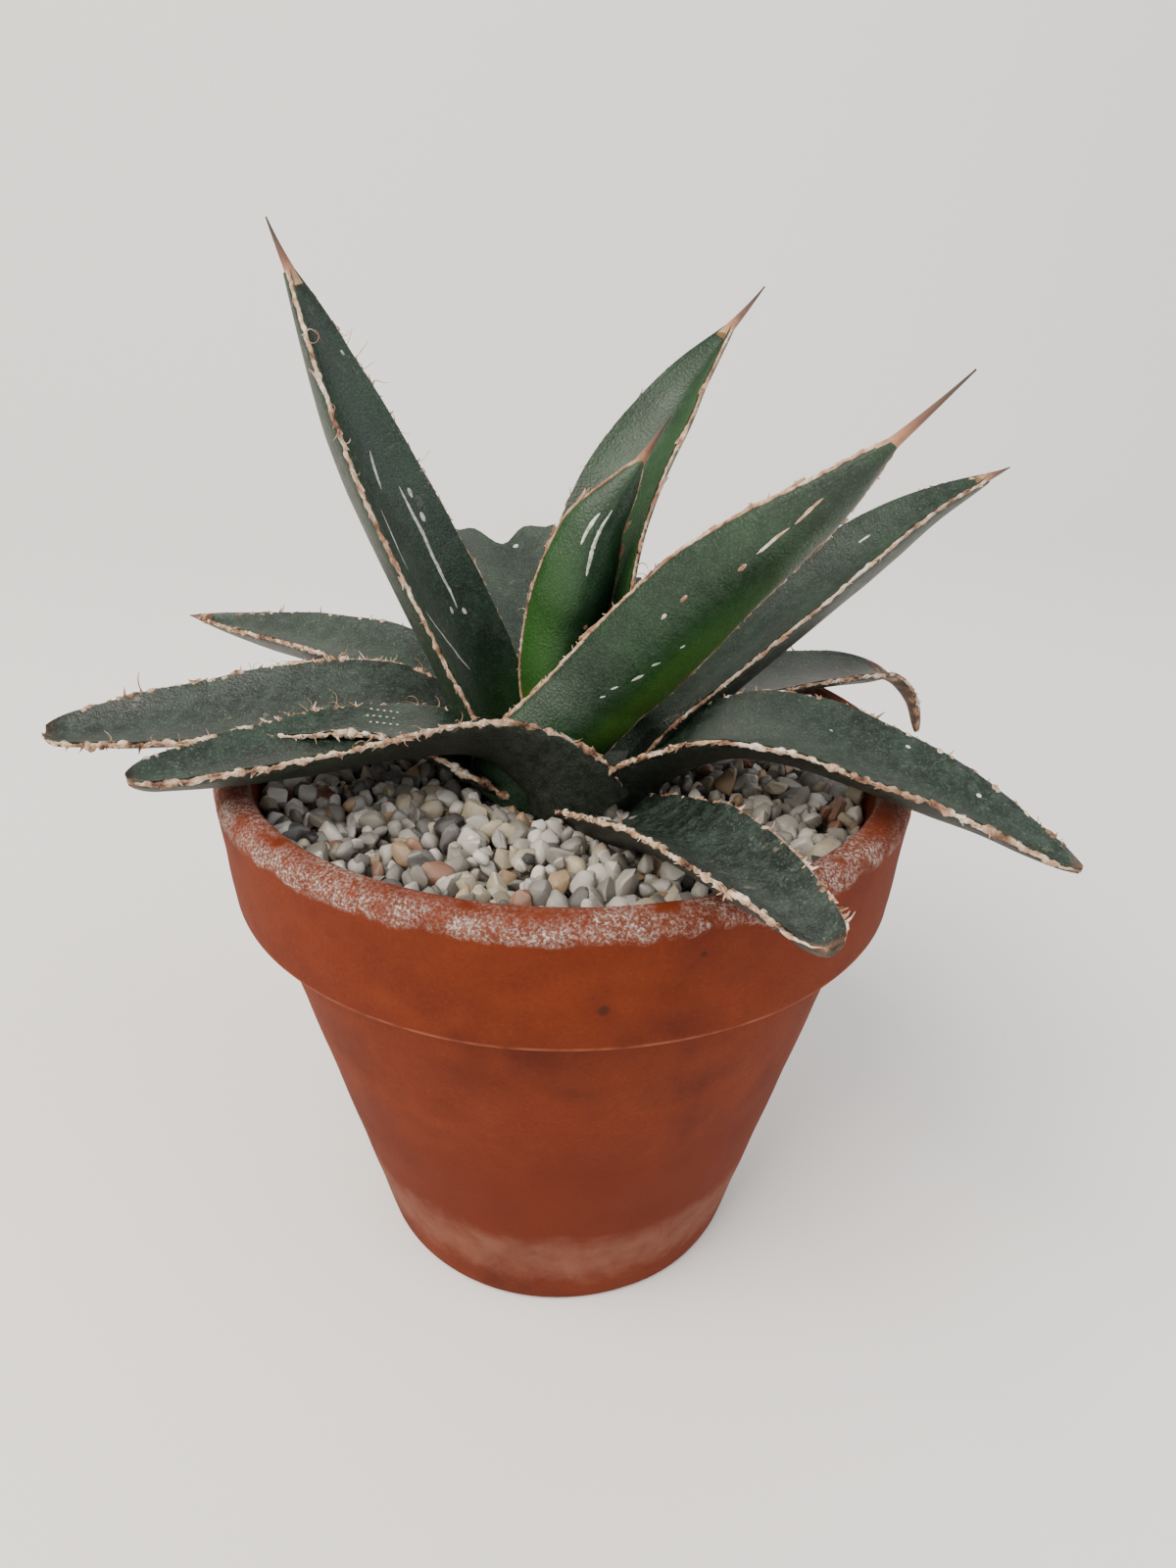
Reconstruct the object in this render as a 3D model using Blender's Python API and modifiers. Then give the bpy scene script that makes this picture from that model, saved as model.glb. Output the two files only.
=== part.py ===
# A small Queen Victoria agave in a plain terracotta pot, top-dressed with quartz grit.
# Each leaf, the stem, the potting mix, the grit and the pot are separate objects.
# Units are metres, +Z is up, and the origin is under the middle of the whole thing, on the table.

import bisect
import math
import random

import bmesh
import bpy
from mathutils import Euler, Matrix, Vector
from mathutils.geometry import interpolate_bezier

MM = 0.001
GAP = 0.3 * MM  # clearance between pieces that touch

# Pot, from its 91 mm rim and 76 mm height
POT_HEIGHT = 76 * MM
RIM_RADIUS = 45.5 * MM
COLLAR_FOOT_RADIUS = 44.5 * MM
COLLAR_FOOT_HEIGHT = 59.3 * MM
BODY_TOP_RADIUS = 41.2 * MM
BASE_RADIUS = 27.4 * MM
BASE_EDGE = 1.4 * MM  # rounding where the wall meets the table
LIP_ROUNDING = 2.2 * MM
MOUTH_RADIUS = 41.4 * MM
WALL = 4.2 * MM
FLOOR = 6 * MM
DRAIN_RADIUS = 5 * MM
POT_STEPS = 56

# What fills the pot
MIX_TOP = 60 * MM
GRIT_LEVEL = 70.5 * MM
GRIT_DISH_RADIUS = 17 * MM  # the grit dips round the stem
GRIT_DISH_DEPTH = 3.5 * MM
PEBBLE_COUNT = 108
PEBBLE_SIZE = (2.6 * MM, 3.6 * MM)
PEBBLE_SEED = 11

# Stem that carries the rosette
STEM_RADIUS = 8.5 * MM
STEM_FOOT = 46 * MM
STEM_TOP = 77 * MM
STEM_TOP_RADIUS = 2.2 * MM

# Leaf sections
ROSETTE_OFFSET = 1 * MM  # the rosette's axis stands this far to the right of the pot's
LEAF_STATIONS = 19
SPINE_STATIONS = 4
ACROSS = 7  # points across the upper face
EDGE_THICKNESS = 0.9 * MM  # horny margin
WIDEST_AT = 0.33
CLASP = 0.5  # how much deeper the channel is at the foot, where it clasps the leaves inside
OGIVE = 2.3  # how late the blade closes towards its tip
TOOTH = 0.35 * MM
TOOTH_SEED = 5
SPINE_BASE_RADIUS = 0.75 * MM
SPINE_TIP_RADIUS = 0.14 * MM

# One entry for each leaf, innermost first. Angles are in degrees, sizes in millimetres.
# azimuth is counted from the right, anticlockwise from above. line is a smooth curve midway between
# the leaf's two margins, as (distance from the rosette's axis, height) from foot to tip, with a third
# number where it stands to one side. roll turns the blade about that line, at its foot and at its
# tip. fold is the depth of its channel. foot and blunt are the shares of the width at its foot and
# at a dried tip, which lobes notches by that many millimetres. A leaf with no blunt end closes in
# its spine.
LEAVES = [
    dict(name="leaf_heart", azimuth=-20, roll=(-50, -50), width=12.0, fold=2.2, thick=2.4, spine=6.0,
         line=[(-2, 77, 1), (-2.8, 83, 1), (-2, 90.6, 1), (-0.5, 96.5), (1.8, 104.1), (5, 108.9),
               (7.7, 113)]),
    dict(name="leaf_inner_back", azimuth=42, roll=(0, 0), width=14.5, fold=3.0, thick=2.6, spine=7.8,
         line=[(4, 77), (2.5, 87), (1.8, 96), (3.8, 104.3), (8.2, 111.3), (13.8, 117.2), (18.3, 121.5),
               (25.6, 126.6)]),
    dict(name="leaf_inner_right", azimuth=-38, roll=(-50, -22), foot=1.2, width=14.2, fold=2.2,
         thick=2.8, spine=9.5,
         line=[(-2.5, 70, -7), (-0.5, 75.6, -7), (4, 82, -4), (8.4, 87.7, -1.6), (18.2, 99.5), (26, 106.8),
               (32.5, 112.5), (39, 119)]),
    dict(name="leaf_tall_left", azimuth=172, roll=(-12, -12), width=16.5, fold=3.6, thick=3.0, spine=5.8,
         line=[(4, 72), (8.6, 79), (13, 88.5), (16.7, 96), (24, 111), (30, 124.1), (33.7, 132)]),
    dict(name="leaf_right_back", azimuth=24, roll=(0, 0), width=14.5, fold=3.4, thick=3.2, spine=4.0,
         line=[(5, 72), (9.6, 77.5), (16.9, 82.9), (25.9, 88.8), (39.7, 97.2), (52.5, 103.6), (65, 107)]),
    dict(name="leaf_front_right", azimuth=-27, roll=(0, 0), width=18.0, fold=2.8, thick=2.4, blunt=0.1,
         line=[(5, 71.5), (9.6, 77.2), (20.6, 83.4), (30, 84.6), (40.1, 83), (51.9, 79.6), (58.8, 76.4),
               (64.3, 73.9)]),
    dict(name="leaf_front_left", azimuth=206, roll=(35, 0), foot=0.95, width=17.5, fold=2.8,
         thick=2.4, blunt=0.26,
         line=[(2, 70.5, 5), (5, 75.8, 4.6), (9.5, 80, 3), (16, 82.4, 0.8), (24.8, 82.9), (36.8, 82.5),
               (48, 81.6), (55.6, 81)]),
    dict(name="leaf_back", azimuth=105, roll=(0, 0), width=23.0, fold=4.0, thick=2.6, blunt=0.72, lobes=1.6,
         line=[(5, 72), (18, 81), (32, 88.5), (47, 94.5)]),
    dict(name="leaf_back_left", azimuth=150, roll=(0, 0), width=16.5, fold=3.0, thick=2.4, spine=2.5,
         line=[(5, 71), (14, 76.5), (25.2, 80.8), (35.7, 83.2), (49, 83), (68.9, 81)]),
    dict(name="leaf_far_right", azimuth=27, roll=(0, 0), width=13.5, fold=1.8, thick=1.6, blunt=0.2,
         line=[(5, 71), (14, 76.5), (24.1, 80.4), (34.4, 80.7), (43.5, 80.2), (51.3, 78.9), (57, 75.9),
               (61.3, 71.1), (63.5, 65.6)]),
    dict(name="leaf_left", azimuth=185, roll=(-8, -8), width=19.0, fold=2.6, thick=2.0, blunt=0.3,
         line=[(5, 69.5), (12, 75.5), (23.8, 82), (36.3, 82.3), (48.8, 80.9), (58.7, 79.6), (67.8, 78.4)]),
    dict(name="leaf_back_right", azimuth=76, roll=(0, 0), width=15.0, fold=3.0, thick=2.2, blunt=0.35,
         line=[(5, 70), (15, 76), (28, 81.3), (42, 84.3), (50, 84.6)]),
    dict(name="leaf_front", azimuth=-68, roll=(0, 0), width=15.5, fold=2.0, thick=2.4, blunt=0.3,
         line=[(4, 66.5), (8, 70), (20.2, 75.4), (32.4, 79.7), (44.7, 81.5), (54.4, 81.8), (60.2, 81.2)]),
]


def clear_scene():
    for old in list(bpy.data.objects):
        bpy.data.objects.remove(old)


def new_collection(name, hidden=False):
    made = bpy.data.collections.new(name)
    bpy.context.scene.collection.children.link(made)
    made.hide_render = hidden
    return made


def finish_material(name, colour, roughness):
    made = bpy.data.materials.new(name)
    made.use_nodes = True
    shader = made.node_tree.nodes["Principled BSDF"]
    shader.inputs["Base Color"].default_value = (*colour, 1)
    shader.inputs["Roughness"].default_value = roughness
    shader.inputs["Metallic"].default_value = 0
    return made


def mesh_object(name, bm, collection):
    """A new object from a bmesh, with its faces pointing outwards."""
    bmesh.ops.recalc_face_normals(bm, faces=bm.faces)
    mesh = bpy.data.meshes.new(name)
    bm.to_mesh(mesh)
    bm.free()
    made = bpy.data.objects.new(name, mesh)
    collection.objects.link(made)
    return made


def set_mesh_from_modifiers(obj):
    graph = bpy.context.evaluated_depsgraph_get()
    graph.update()
    made = bpy.data.meshes.new_from_object(obj.evaluated_get(graph))
    obj.modifiers.clear()
    obj.data = made


def fuse(obj, others):
    """One Boolean union of obj with all the others, applied. The others are then removed."""
    helpers = bpy.data.collections.new("helpers")
    for other in others:
        helpers.objects.link(other)
    step = obj.modifiers.new("union", "BOOLEAN")
    step.operation = "UNION"
    step.operand_type = "COLLECTION"
    step.collection = helpers
    step.solver = "MANIFOLD"
    bpy.context.view_layer.update()
    set_mesh_from_modifiers(obj)
    for other in others:
        bpy.data.objects.remove(other)
    bpy.data.collections.remove(helpers)


def cut(obj, cutters):
    """Cuts obj by each of the cutters, then removes them."""
    for cutter in cutters:
        step = obj.modifiers.new("cut", "BOOLEAN")
        step.operation = "DIFFERENCE"
        step.object = cutter
        step.solver = "MANIFOLD"
        set_mesh_from_modifiers(obj)
        bpy.data.objects.remove(cutter)


def keep_largest_body(obj):
    """Drops the loose scraps that a cut can leave."""
    bm = bmesh.new()
    bm.from_mesh(obj.data)
    unseen = set(bm.verts)
    bodies = []
    while unseen:
        body = set()
        edge = [unseen.pop()]
        while edge:
            vert = edge.pop()
            body.add(vert)
            for link in vert.link_edges:
                other = link.other_vert(vert)
                if other in unseen:
                    unseen.remove(other)
                    edge.append(other)
        bodies.append(body)
    bodies.sort(key=len)
    bmesh.ops.delete(bm, geom=[v for body in bodies[:-1] for v in body], context="VERTS")
    bm.to_mesh(obj.data)
    bm.free()


def turned(name, profile, collection, closed=True, steps=POT_STEPS):
    """(radius, height) points turned about Z. An open profile starts and ends on the axis."""
    mesh = bpy.data.meshes.new(name)
    points = [(radius, 0, height) for radius, height in profile]
    edges = [(i, i + 1) for i in range(len(points) - 1)]
    if closed:
        edges.append((len(points) - 1, 0))
    mesh.from_pydata(points, edges, [])
    made = bpy.data.objects.new(name, mesh)
    collection.objects.link(made)
    screw = made.modifiers.new("turn", "SCREW")
    screw.steps = screw.render_steps = steps
    screw.use_merge_vertices = True
    screw.merge_threshold = 0.00001
    set_mesh_from_modifiers(made)
    bm = bmesh.new()
    bm.from_mesh(made.data)
    bmesh.ops.recalc_face_normals(bm, faces=bm.faces)
    bm.to_mesh(made.data)
    bm.free()
    made.data.shade_smooth()
    made.data.set_sharp_from_angle(angle=math.radians(35))
    return made


def arc(centre, radius, first, last, count):
    """Points on an arc in the profile's plane, from one angle to another in degrees."""
    angles = [math.radians(first + (last - first) * i / (count - 1)) for i in range(count)]
    return [(centre[0] + radius * math.cos(a), centre[1] + radius * math.sin(a)) for a in angles]


def inner_radius(height):
    """The pot's inside wall at a height."""
    share = (height - FLOOR) / (POT_HEIGHT - LIP_ROUNDING - FLOOR)
    bottom = BASE_RADIUS - WALL + 1.2 * MM
    return bottom + (MOUTH_RADIUS - bottom) * share


def make_pot(collection):
    lip = LIP_ROUNDING
    top = POT_HEIGHT - lip
    outside = arc((BASE_RADIUS - BASE_EDGE, BASE_EDGE), BASE_EDGE, -90, -15, 4)
    outside += [(BODY_TOP_RADIUS, COLLAR_FOOT_HEIGHT + 0.2 * MM)]
    outside += [(COLLAR_FOOT_RADIUS - 0.5 * MM, COLLAR_FOOT_HEIGHT), (COLLAR_FOOT_RADIUS, COLLAR_FOOT_HEIGHT + 0.5 * MM)]
    outside += arc((RIM_RADIUS - lip, top), lip, 0, 90, 6)
    inside = arc((MOUTH_RADIUS + lip * 0.6, POT_HEIGHT - lip * 0.6), lip * 0.6, 90, 180, 4)
    inside += [(inner_radius(FLOOR + 2 * MM), FLOOR + 2 * MM), (inner_radius(FLOOR) - 2 * MM, FLOOR)]
    drain = [(DRAIN_RADIUS, FLOOR), (DRAIN_RADIUS, 0)]
    return turned("pot", outside + inside + drain, collection)


def make_mix(collection):
    """Potting mix: it fills the pot from the floor up to the grit, round the stem."""
    low = FLOOR + GAP
    hole = STEM_RADIUS + GAP
    profile = [
        (0, low),
        (inner_radius(FLOOR) - 2 * MM - GAP, low),
        (inner_radius(FLOOR + 2 * MM) - 1.3 * GAP, FLOOR + 2 * MM + GAP),
        (inner_radius(MIX_TOP) - 1.3 * GAP, MIX_TOP),
        (hole, MIX_TOP),
        (hole, STEM_FOOT - GAP),
        (0, STEM_FOOT - GAP),
    ]
    return turned("potting_mix", profile, collection, closed=False, steps=48)


def make_stem(name, collection, grow=0.0):
    """The short stem under the rosette, its foot in the mix and its top narrowing to the heart."""
    profile = [
        (0, STEM_FOOT - grow),
        (STEM_RADIUS + grow, STEM_FOOT - grow),
        (STEM_RADIUS + grow, GRIT_LEVEL - 2 * MM),
        (STEM_RADIUS * 0.6 + grow, STEM_TOP - 4 * MM),
        (STEM_TOP_RADIUS + grow, STEM_TOP + grow),
        (0, STEM_TOP + grow),
    ]
    return turned(name, profile, collection, closed=False, steps=24)


def grit_height(radius):
    """The level of the grit, with its dip round the stem."""
    share = min(radius / GRIT_DISH_RADIUS, 1)
    return GRIT_LEVEL - GRIT_DISH_DEPTH * (1 - share * share * (3 - 2 * share))


def pebble_places(edge):
    """Seeded places spread evenly over the grit, from a sunflower spiral with some scatter."""
    draw = random.Random(PEBBLE_SEED)
    inside = STEM_RADIUS + 3 * MM
    for i in range(PEBBLE_COUNT):
        share = (i + 0.5) / PEBBLE_COUNT
        radius = math.sqrt(inside**2 + (edge**2 - inside**2) * share) + draw.uniform(-0.8, 0.8) * MM
        angle = i * math.radians(137.508) + draw.uniform(-0.06, 0.06)
        size = draw.uniform(*PEBBLE_SIZE)
        radius = min(radius, edge - size)
        turn = Euler([draw.uniform(0, math.tau) for _ in range(3)]).to_matrix().to_4x4()
        shape = Matrix.Diagonal((size, size * draw.uniform(0.65, 0.9), size * draw.uniform(0.6, 0.8), 1))
        place = Vector((radius * math.cos(angle), radius * math.sin(angle), grit_height(radius)))
        yield Matrix.Translation(place) @ turn @ shape


def make_grit(collection):
    """The top dressing: a bed that fills the mouth of the pot, with pebbles standing out of it."""
    low = MIX_TOP + GAP
    wall = inner_radius(low) - 1.3 * GAP
    edge = inner_radius(GRIT_LEVEL) - 1.3 * GAP
    hole = STEM_RADIUS + GAP
    dish = [GRIT_DISH_RADIUS * share for share in (1.0, 0.8)]
    profile = [(hole, low), (wall, low), (edge, GRIT_LEVEL)]
    profile += [(radius, grit_height(radius)) for radius in dish]
    profile += [(hole, grit_height(hole))]
    grit = turned("grit", profile, collection, steps=48)
    pebbles = []
    for i, place in enumerate(pebble_places(edge - 0.3 * MM)):
        bm = bmesh.new()
        bmesh.ops.create_icosphere(bm, subdivisions=1, radius=1, matrix=place)
        pebbles.append(mesh_object(f"pebble_{i}", bm, collection))
    fuse(grit, pebbles)
    return grit


def leaf_width(leaf, share):
    """The leaf's width at a share of its length, as a share of its widest."""
    if share < WIDEST_AT:
        return 1 + (leaf.get("foot", 0.8) - 1) * (1 - share / WIDEST_AT) ** 2
    run = (share - WIDEST_AT) / (1 - WIDEST_AT)
    blunt = leaf.get("blunt", 0)
    return blunt + (1 - blunt) * (1 - run**OGIVE)


def smooth_curve(knots, count):
    """Evenly spaced points on a smooth curve through the knots, and the direction at each."""
    knots = [knots[0] * 2 - knots[1], *knots, knots[-1] * 2 - knots[-2]]
    fine = []
    for before, first, second, after in zip(knots, knots[1:], knots[2:], knots[3:]):
        handles = (first + (second - before) / 6, second - (after - first) / 6)
        fine += interpolate_bezier(first, *handles, second, 16)[:-1]
    fine.append(knots[-2])
    run = [0]
    for first, second in zip(fine, fine[1:]):
        run.append(run[-1] + (second - first).length)
    for i in range(count):
        at = run[-1] * i / (count - 1)
        k = min(max(bisect.bisect_right(run, at) - 1, 0), len(fine) - 2)
        share = (at - run[k]) / (run[k + 1] - run[k])
        before, after = fine[max(k - 2, 0)], fine[min(k + 3, len(fine) - 1)]
        yield fine[k].lerp(fine[k + 1], share), (after - before).normalized()


def leaf_frames(leaf, count):
    """For each station of a leaf: its share of the length, the middle point, and the three axes."""
    azimuth = math.radians(leaf["azimuth"])
    outward = Vector((math.cos(azimuth), math.sin(azimuth), 0))
    axis = Vector((ROSETTE_OFFSET, 0, 0))
    level = Vector((-math.sin(azimuth), math.cos(azimuth), 0))
    knots = []
    for radius, height, *aside in leaf["line"]:
        knots.append(axis + (outward * radius + Vector((0, 0, height)) + level * sum(aside)) * MM)
    for i, (point, along) in enumerate(smooth_curve(knots, count)):
        foot, tip = leaf["roll"]
        roll = tip + (foot - tip) * (1 - i / (count - 1)) ** 2
        across = Matrix.Rotation(math.radians(roll), 3, along) @ level
        yield i / (count - 1), point, along, across, along.cross(across)


def grown(ring, grow):
    """A clockwise ring of (across, up) points moved outwards along its own normals."""
    ring = [Vector(point) for point in ring]
    moved = []
    for before, here, after in zip(ring[-1:] + ring, ring, ring[1:] + ring[:1]):
        first = (here - before).orthogonal().normalized()
        second = (after - here).orthogonal().normalized()
        middle = (first + second).normalized()
        moved.append(here + middle * grow / max(middle.dot(first), 0.5))
    return moved


def leaf_section(leaf, share, teeth):
    """One closed ring of (across, up) points: the channelled upper face, then the keeled back."""
    narrowing = leaf_width(leaf, share)
    half = narrowing * leaf["width"] * MM / 2
    fold = leaf["fold"] * MM * min(1, narrowing + 0.15) * (1 + CLASP * max(0, 1 - share / WIDEST_AT) ** 2)
    thick = leaf["thick"] * MM * (1.3 - 0.6 * share) * min(1, narrowing + 0.3)
    upper, lower = [], []
    for i in range(ACROSS):
        x = -1 + 2 * i / (ACROSS - 1)
        face = fold * (abs(x) ** 1.7 - 1)
        reach = x * half + (teeth[0] if i == 0 else teeth[1] if i == ACROSS - 1 else 0)
        upper.append((reach, face))
        lower.append((reach, face - EDGE_THICKNESS - (thick - EDGE_THICKNESS) * (1 - abs(x) ** 2.2)))
    return upper + lower[::-1]


def spine_section(share):
    """A round ring with as many points as a blade's ring, in the same order."""
    radius = SPINE_BASE_RADIUS + (SPINE_TIP_RADIUS - SPINE_BASE_RADIUS) * share**0.8
    angles = [math.pi - math.pi * (i + 0.5) / ACROSS for i in range(2 * ACROSS)]
    return [(radius * math.cos(a), radius * math.sin(a) - EDGE_THICKNESS / 2) for a in angles]


def leaf_mesh(leaf, grow=0.0):
    """A leaf as rings skinned together: the blade, then its terminal spine where it has one."""
    draw = random.Random(f"{TOOTH_SEED} {leaf['name']}")
    bm = bmesh.new()
    rings = []

    def add_ring(section, point, across, up, ahead=Vector()):
        half = abs(section[0][0])
        lobes = [ahead * -math.cos(math.tau * x / half) for x, _ in section]
        section = grown(section, grow)
        rings.append([bm.verts.new(point + across * x + up * z + push) for (x, z), push in zip(section, lobes)])

    spine = leaf.get("spine", 0) * MM
    for share, point, along, across, up in leaf_frames(leaf, LEAF_STATIONS):
        if spine and share == 1:
            break
        side = 1 if len(rings) % 2 else -1
        toothed = 0.08 < share < 0.93
        teeth = [TOOTH * draw.uniform(0.2, 1) * side * toothed * sign for sign in (-1, 1)]
        lobes = along * leaf.get("lobes", 0) * MM * (share == 1)
        add_ring(leaf_section(leaf, share, teeth), point - along * grow * (share == 0), across, up, lobes)
    for i in range(SPINE_STATIONS if spine else 0):
        share = i / (SPINE_STATIONS - 1)
        add_ring(spine_section(share), point + along * spine * share, across, up)
    for first, second in zip(rings, rings[1:]):
        for i in range(len(first)):
            j = (i + 1) % len(first)
            bm.faces.new((first[i], first[j], second[j], second[i]))
    bm.faces.new(rings[0])
    bm.faces.new(rings[-1])
    bmesh.ops.triangulate(bm, faces=bm.faces, quad_method="FIXED")
    return bm


def make_leaf(leaf, inner, collection):
    """One leaf, cut back with a gap where it would meet the stem or a leaf further in."""
    made = mesh_object(leaf["name"], leaf_mesh(leaf), collection)
    cutters = [make_stem("stem_clearance", collection, GAP)]
    cutters += [mesh_object(f"{other['name']}_clearance", leaf_mesh(other, GAP), collection) for other in inner]
    cut(made, cutters)
    keep_largest_body(made)
    made.data.shade_smooth()
    made.data.set_sharp_from_angle(angle=math.radians(40))
    return made


def centre_over_origin(objects):
    """Moves everything so that the origin is at the middle of the underside of its box."""
    corners = [v.co for obj in objects for v in obj.data.vertices]
    middle = [(min(c[i] for c in corners) + max(c[i] for c in corners)) / 2 for i in range(2)]
    shift = Matrix.Translation((-middle[0], -middle[1], 0))
    for obj in objects:
        obj.data.transform(shift)


def main():
    clear_scene()
    plant = new_collection("queen_victoria_agave")
    terracotta = finish_material("terracotta", (0.42, 0.13, 0.06), 0.85)
    mix_finish = finish_material("potting mix", (0.05, 0.03, 0.02), 0.95)
    quartz = finish_material("quartz grit", (0.6, 0.58, 0.53), 0.6)
    stem_finish = finish_material("stem", (0.2, 0.24, 0.1), 0.7)
    leaf_finish = finish_material("leaf", (0.03, 0.09, 0.05), 0.5)

    pot = make_pot(plant)
    pot.data.materials.append(terracotta)
    mix = make_mix(plant)
    mix.data.materials.append(mix_finish)
    stem = make_stem("stem", plant)
    stem.data.materials.append(stem_finish)

    leaves = []
    for i, leaf in enumerate(LEAVES):
        made = make_leaf(leaf, LEAVES[:i], plant)
        made.data.materials.clear()
        made.data.materials.append(leaf_finish)
        leaves.append(made)

    grit = make_grit(plant)
    clearances = [make_stem("stem_clearance", plant, GAP)]
    clearances += [mesh_object(f"{leaf['name']}_clearance", leaf_mesh(leaf, GAP), plant) for leaf in LEAVES]
    cut(grit, clearances)
    keep_largest_body(grit)
    grit.data.materials.clear()
    grit.data.materials.append(quartz)

    centre_over_origin([pot, mix, grit, stem, *leaves])


main()
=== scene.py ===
import bisect
import math
import random

import bmesh
import bpy
from mathutils import Euler, Matrix, Vector, noise
from mathutils.bvhtree import BVHTree
from mathutils.geometry import interpolate_bezier


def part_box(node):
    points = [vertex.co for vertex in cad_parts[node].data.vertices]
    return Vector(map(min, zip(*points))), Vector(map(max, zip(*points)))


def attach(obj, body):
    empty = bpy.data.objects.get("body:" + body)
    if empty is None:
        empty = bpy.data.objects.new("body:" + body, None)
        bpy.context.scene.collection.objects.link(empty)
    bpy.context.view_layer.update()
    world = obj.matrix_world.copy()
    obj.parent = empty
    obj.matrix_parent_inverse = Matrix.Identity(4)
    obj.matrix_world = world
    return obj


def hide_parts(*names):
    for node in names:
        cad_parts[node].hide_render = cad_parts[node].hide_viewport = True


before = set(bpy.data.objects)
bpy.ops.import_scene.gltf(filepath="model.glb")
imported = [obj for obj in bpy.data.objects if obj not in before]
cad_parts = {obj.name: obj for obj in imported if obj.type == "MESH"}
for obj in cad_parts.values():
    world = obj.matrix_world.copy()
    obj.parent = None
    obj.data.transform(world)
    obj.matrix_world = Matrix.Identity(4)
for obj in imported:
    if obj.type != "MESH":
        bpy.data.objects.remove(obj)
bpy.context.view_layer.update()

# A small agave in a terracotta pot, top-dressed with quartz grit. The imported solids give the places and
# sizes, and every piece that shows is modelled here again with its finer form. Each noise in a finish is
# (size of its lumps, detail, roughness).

mm = 0.001
potLow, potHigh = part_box("pot")
potAxis = Vector(((potLow.x + potHigh.x) / 2, (potLow.y + potHigh.y) / 2, 0))
rosetteAxis = potAxis + Vector((1 * mm, 0, 0))  # the rosette stands a little to the right


# Small tools

def linear(code):
    # an sRGB hex colour as linear RGBA
    parts = [int(code[i:i + 2], 16) / 255 for i in (1, 3, 5)]
    return [c / 12.92 if c <= 0.04045 else ((c + 0.055) / 1.055) ** 2.4 for c in parts] + [1]


def clamp(value, low=0.0, high=1.0):
    return min(max(value, low), high)


def smoothStep(low, high, value):
    share = clamp((value - low) / (high - low))
    return share * share * (3 - 2 * share)


def newMaterial(name):
    made = bpy.data.materials.new(name)
    made.use_nodes = True
    tree = made.node_tree
    return made, tree, tree.nodes["Principled BSDF"]


def addNode(tree, kind, inputs, output=0, stops=(), **settings):
    # adds a node with its settings, sets or links its inputs, and gives one of its outputs; a ramp has stops
    node = tree.nodes.new("ShaderNode" + kind)
    for key, value in settings.items():
        setattr(node, key, value)
    for _ in stops[2:]:
        node.color_ramp.elements.new(0.5)
    for k, (place, tone) in enumerate(stops):
        element = node.color_ramp.elements[k]
        element.position = place
        element.color = linear(tone) if isinstance(tone, str) else (tone, tone, tone, 1)
    for key, value in inputs.items():
        if isinstance(value, bpy.types.NodeSocket):
            tree.links.new(value, node.inputs[key])
        else:
            node.inputs[key].default_value = linear(value) if isinstance(value, str) else value
    return node.outputs[output]


def placePatterns(tree, noises, centre=(0, 0, 0), stretch=(1, 1, 1)):
    # the place on the object, and each noise of a finish at that place
    where = addNode(tree, "TexCoord", {}, "Object")
    shift = tuple(-c * s for c, s in zip(centre, stretch))
    place = addNode(tree, "Mapping", {"Vector": where, "Location": shift, "Scale": stretch})
    patterns = {}
    for name, (size, detail, rough) in noises.items():
        inputs = {"Vector": place, "Scale": 1 / size, "Detail": detail, "Roughness": rough}
        patterns[name] = addNode(tree, "TexNoise", inputs)
    return place, patterns


def cover(tree, *factors):
    # the product of the factors: each is a number, a socket, or a socket with the stops of a ramp through it
    product = None
    for factor in factors:
        if isinstance(factor, tuple):
            factor = addNode(tree, "ValToRGB", {0: factor[0]}, stops=factor[1])
        if product is not None:
            factor = addNode(tree, "Math", {0: product, 1: factor}, operation="MULTIPLY")
        product = factor
    return product


def coat(tree, under, tone, *factors, blend="MIX"):
    # lays a tone over a colour, and the product of the factors says how far it covers
    inputs = {0: cover(tree, *factors), 6: under, 7: tone}
    return addNode(tree, "Mix", inputs, 2, data_type="RGBA", blend_type=blend)


def surface(tree, shader, colour, relief, depth, strength):
    # gives a finish its colour and a relief that stands up by the depth
    tree.links.new(colour, shader.inputs["Base Color"])
    normal = addNode(tree, "Bump", {"Height": relief, "Distance": depth, "Strength": strength})
    tree.links.new(normal, shader.inputs["Normal"])


def finishPiece(name, bm, materials, slotName, *nodes, sharp=60, fields=None):
    # turns a bmesh into a finished piece that rides the plant's one body
    mesh = bpy.data.meshes.new(name)
    bmesh.ops.recalc_face_normals(bm, faces=bm.faces)
    bm.to_mesh(mesh)
    bm.free()
    for field, numbers in (fields or {}).items():
        mesh.attributes.new(field, "FLOAT", "POINT").data.foreach_set("value", numbers)
    for made in materials:
        mesh.materials.append(made)
    mesh.shade_smooth()
    mesh.set_sharp_from_angle(angle=math.radians(sharp))
    piece = bpy.data.objects.new(name, mesh)
    bpy.context.scene.collection.objects.link(piece)
    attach(piece, "root")
    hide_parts(*nodes)
    return piece


def absorb(bm, part):
    # adds a small bmesh to a large one, at the end of its lists
    scratch = bpy.data.meshes.new("scratch")
    part.to_mesh(scratch)
    part.free()
    bm.from_mesh(scratch)
    bpy.data.meshes.remove(scratch)


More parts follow.
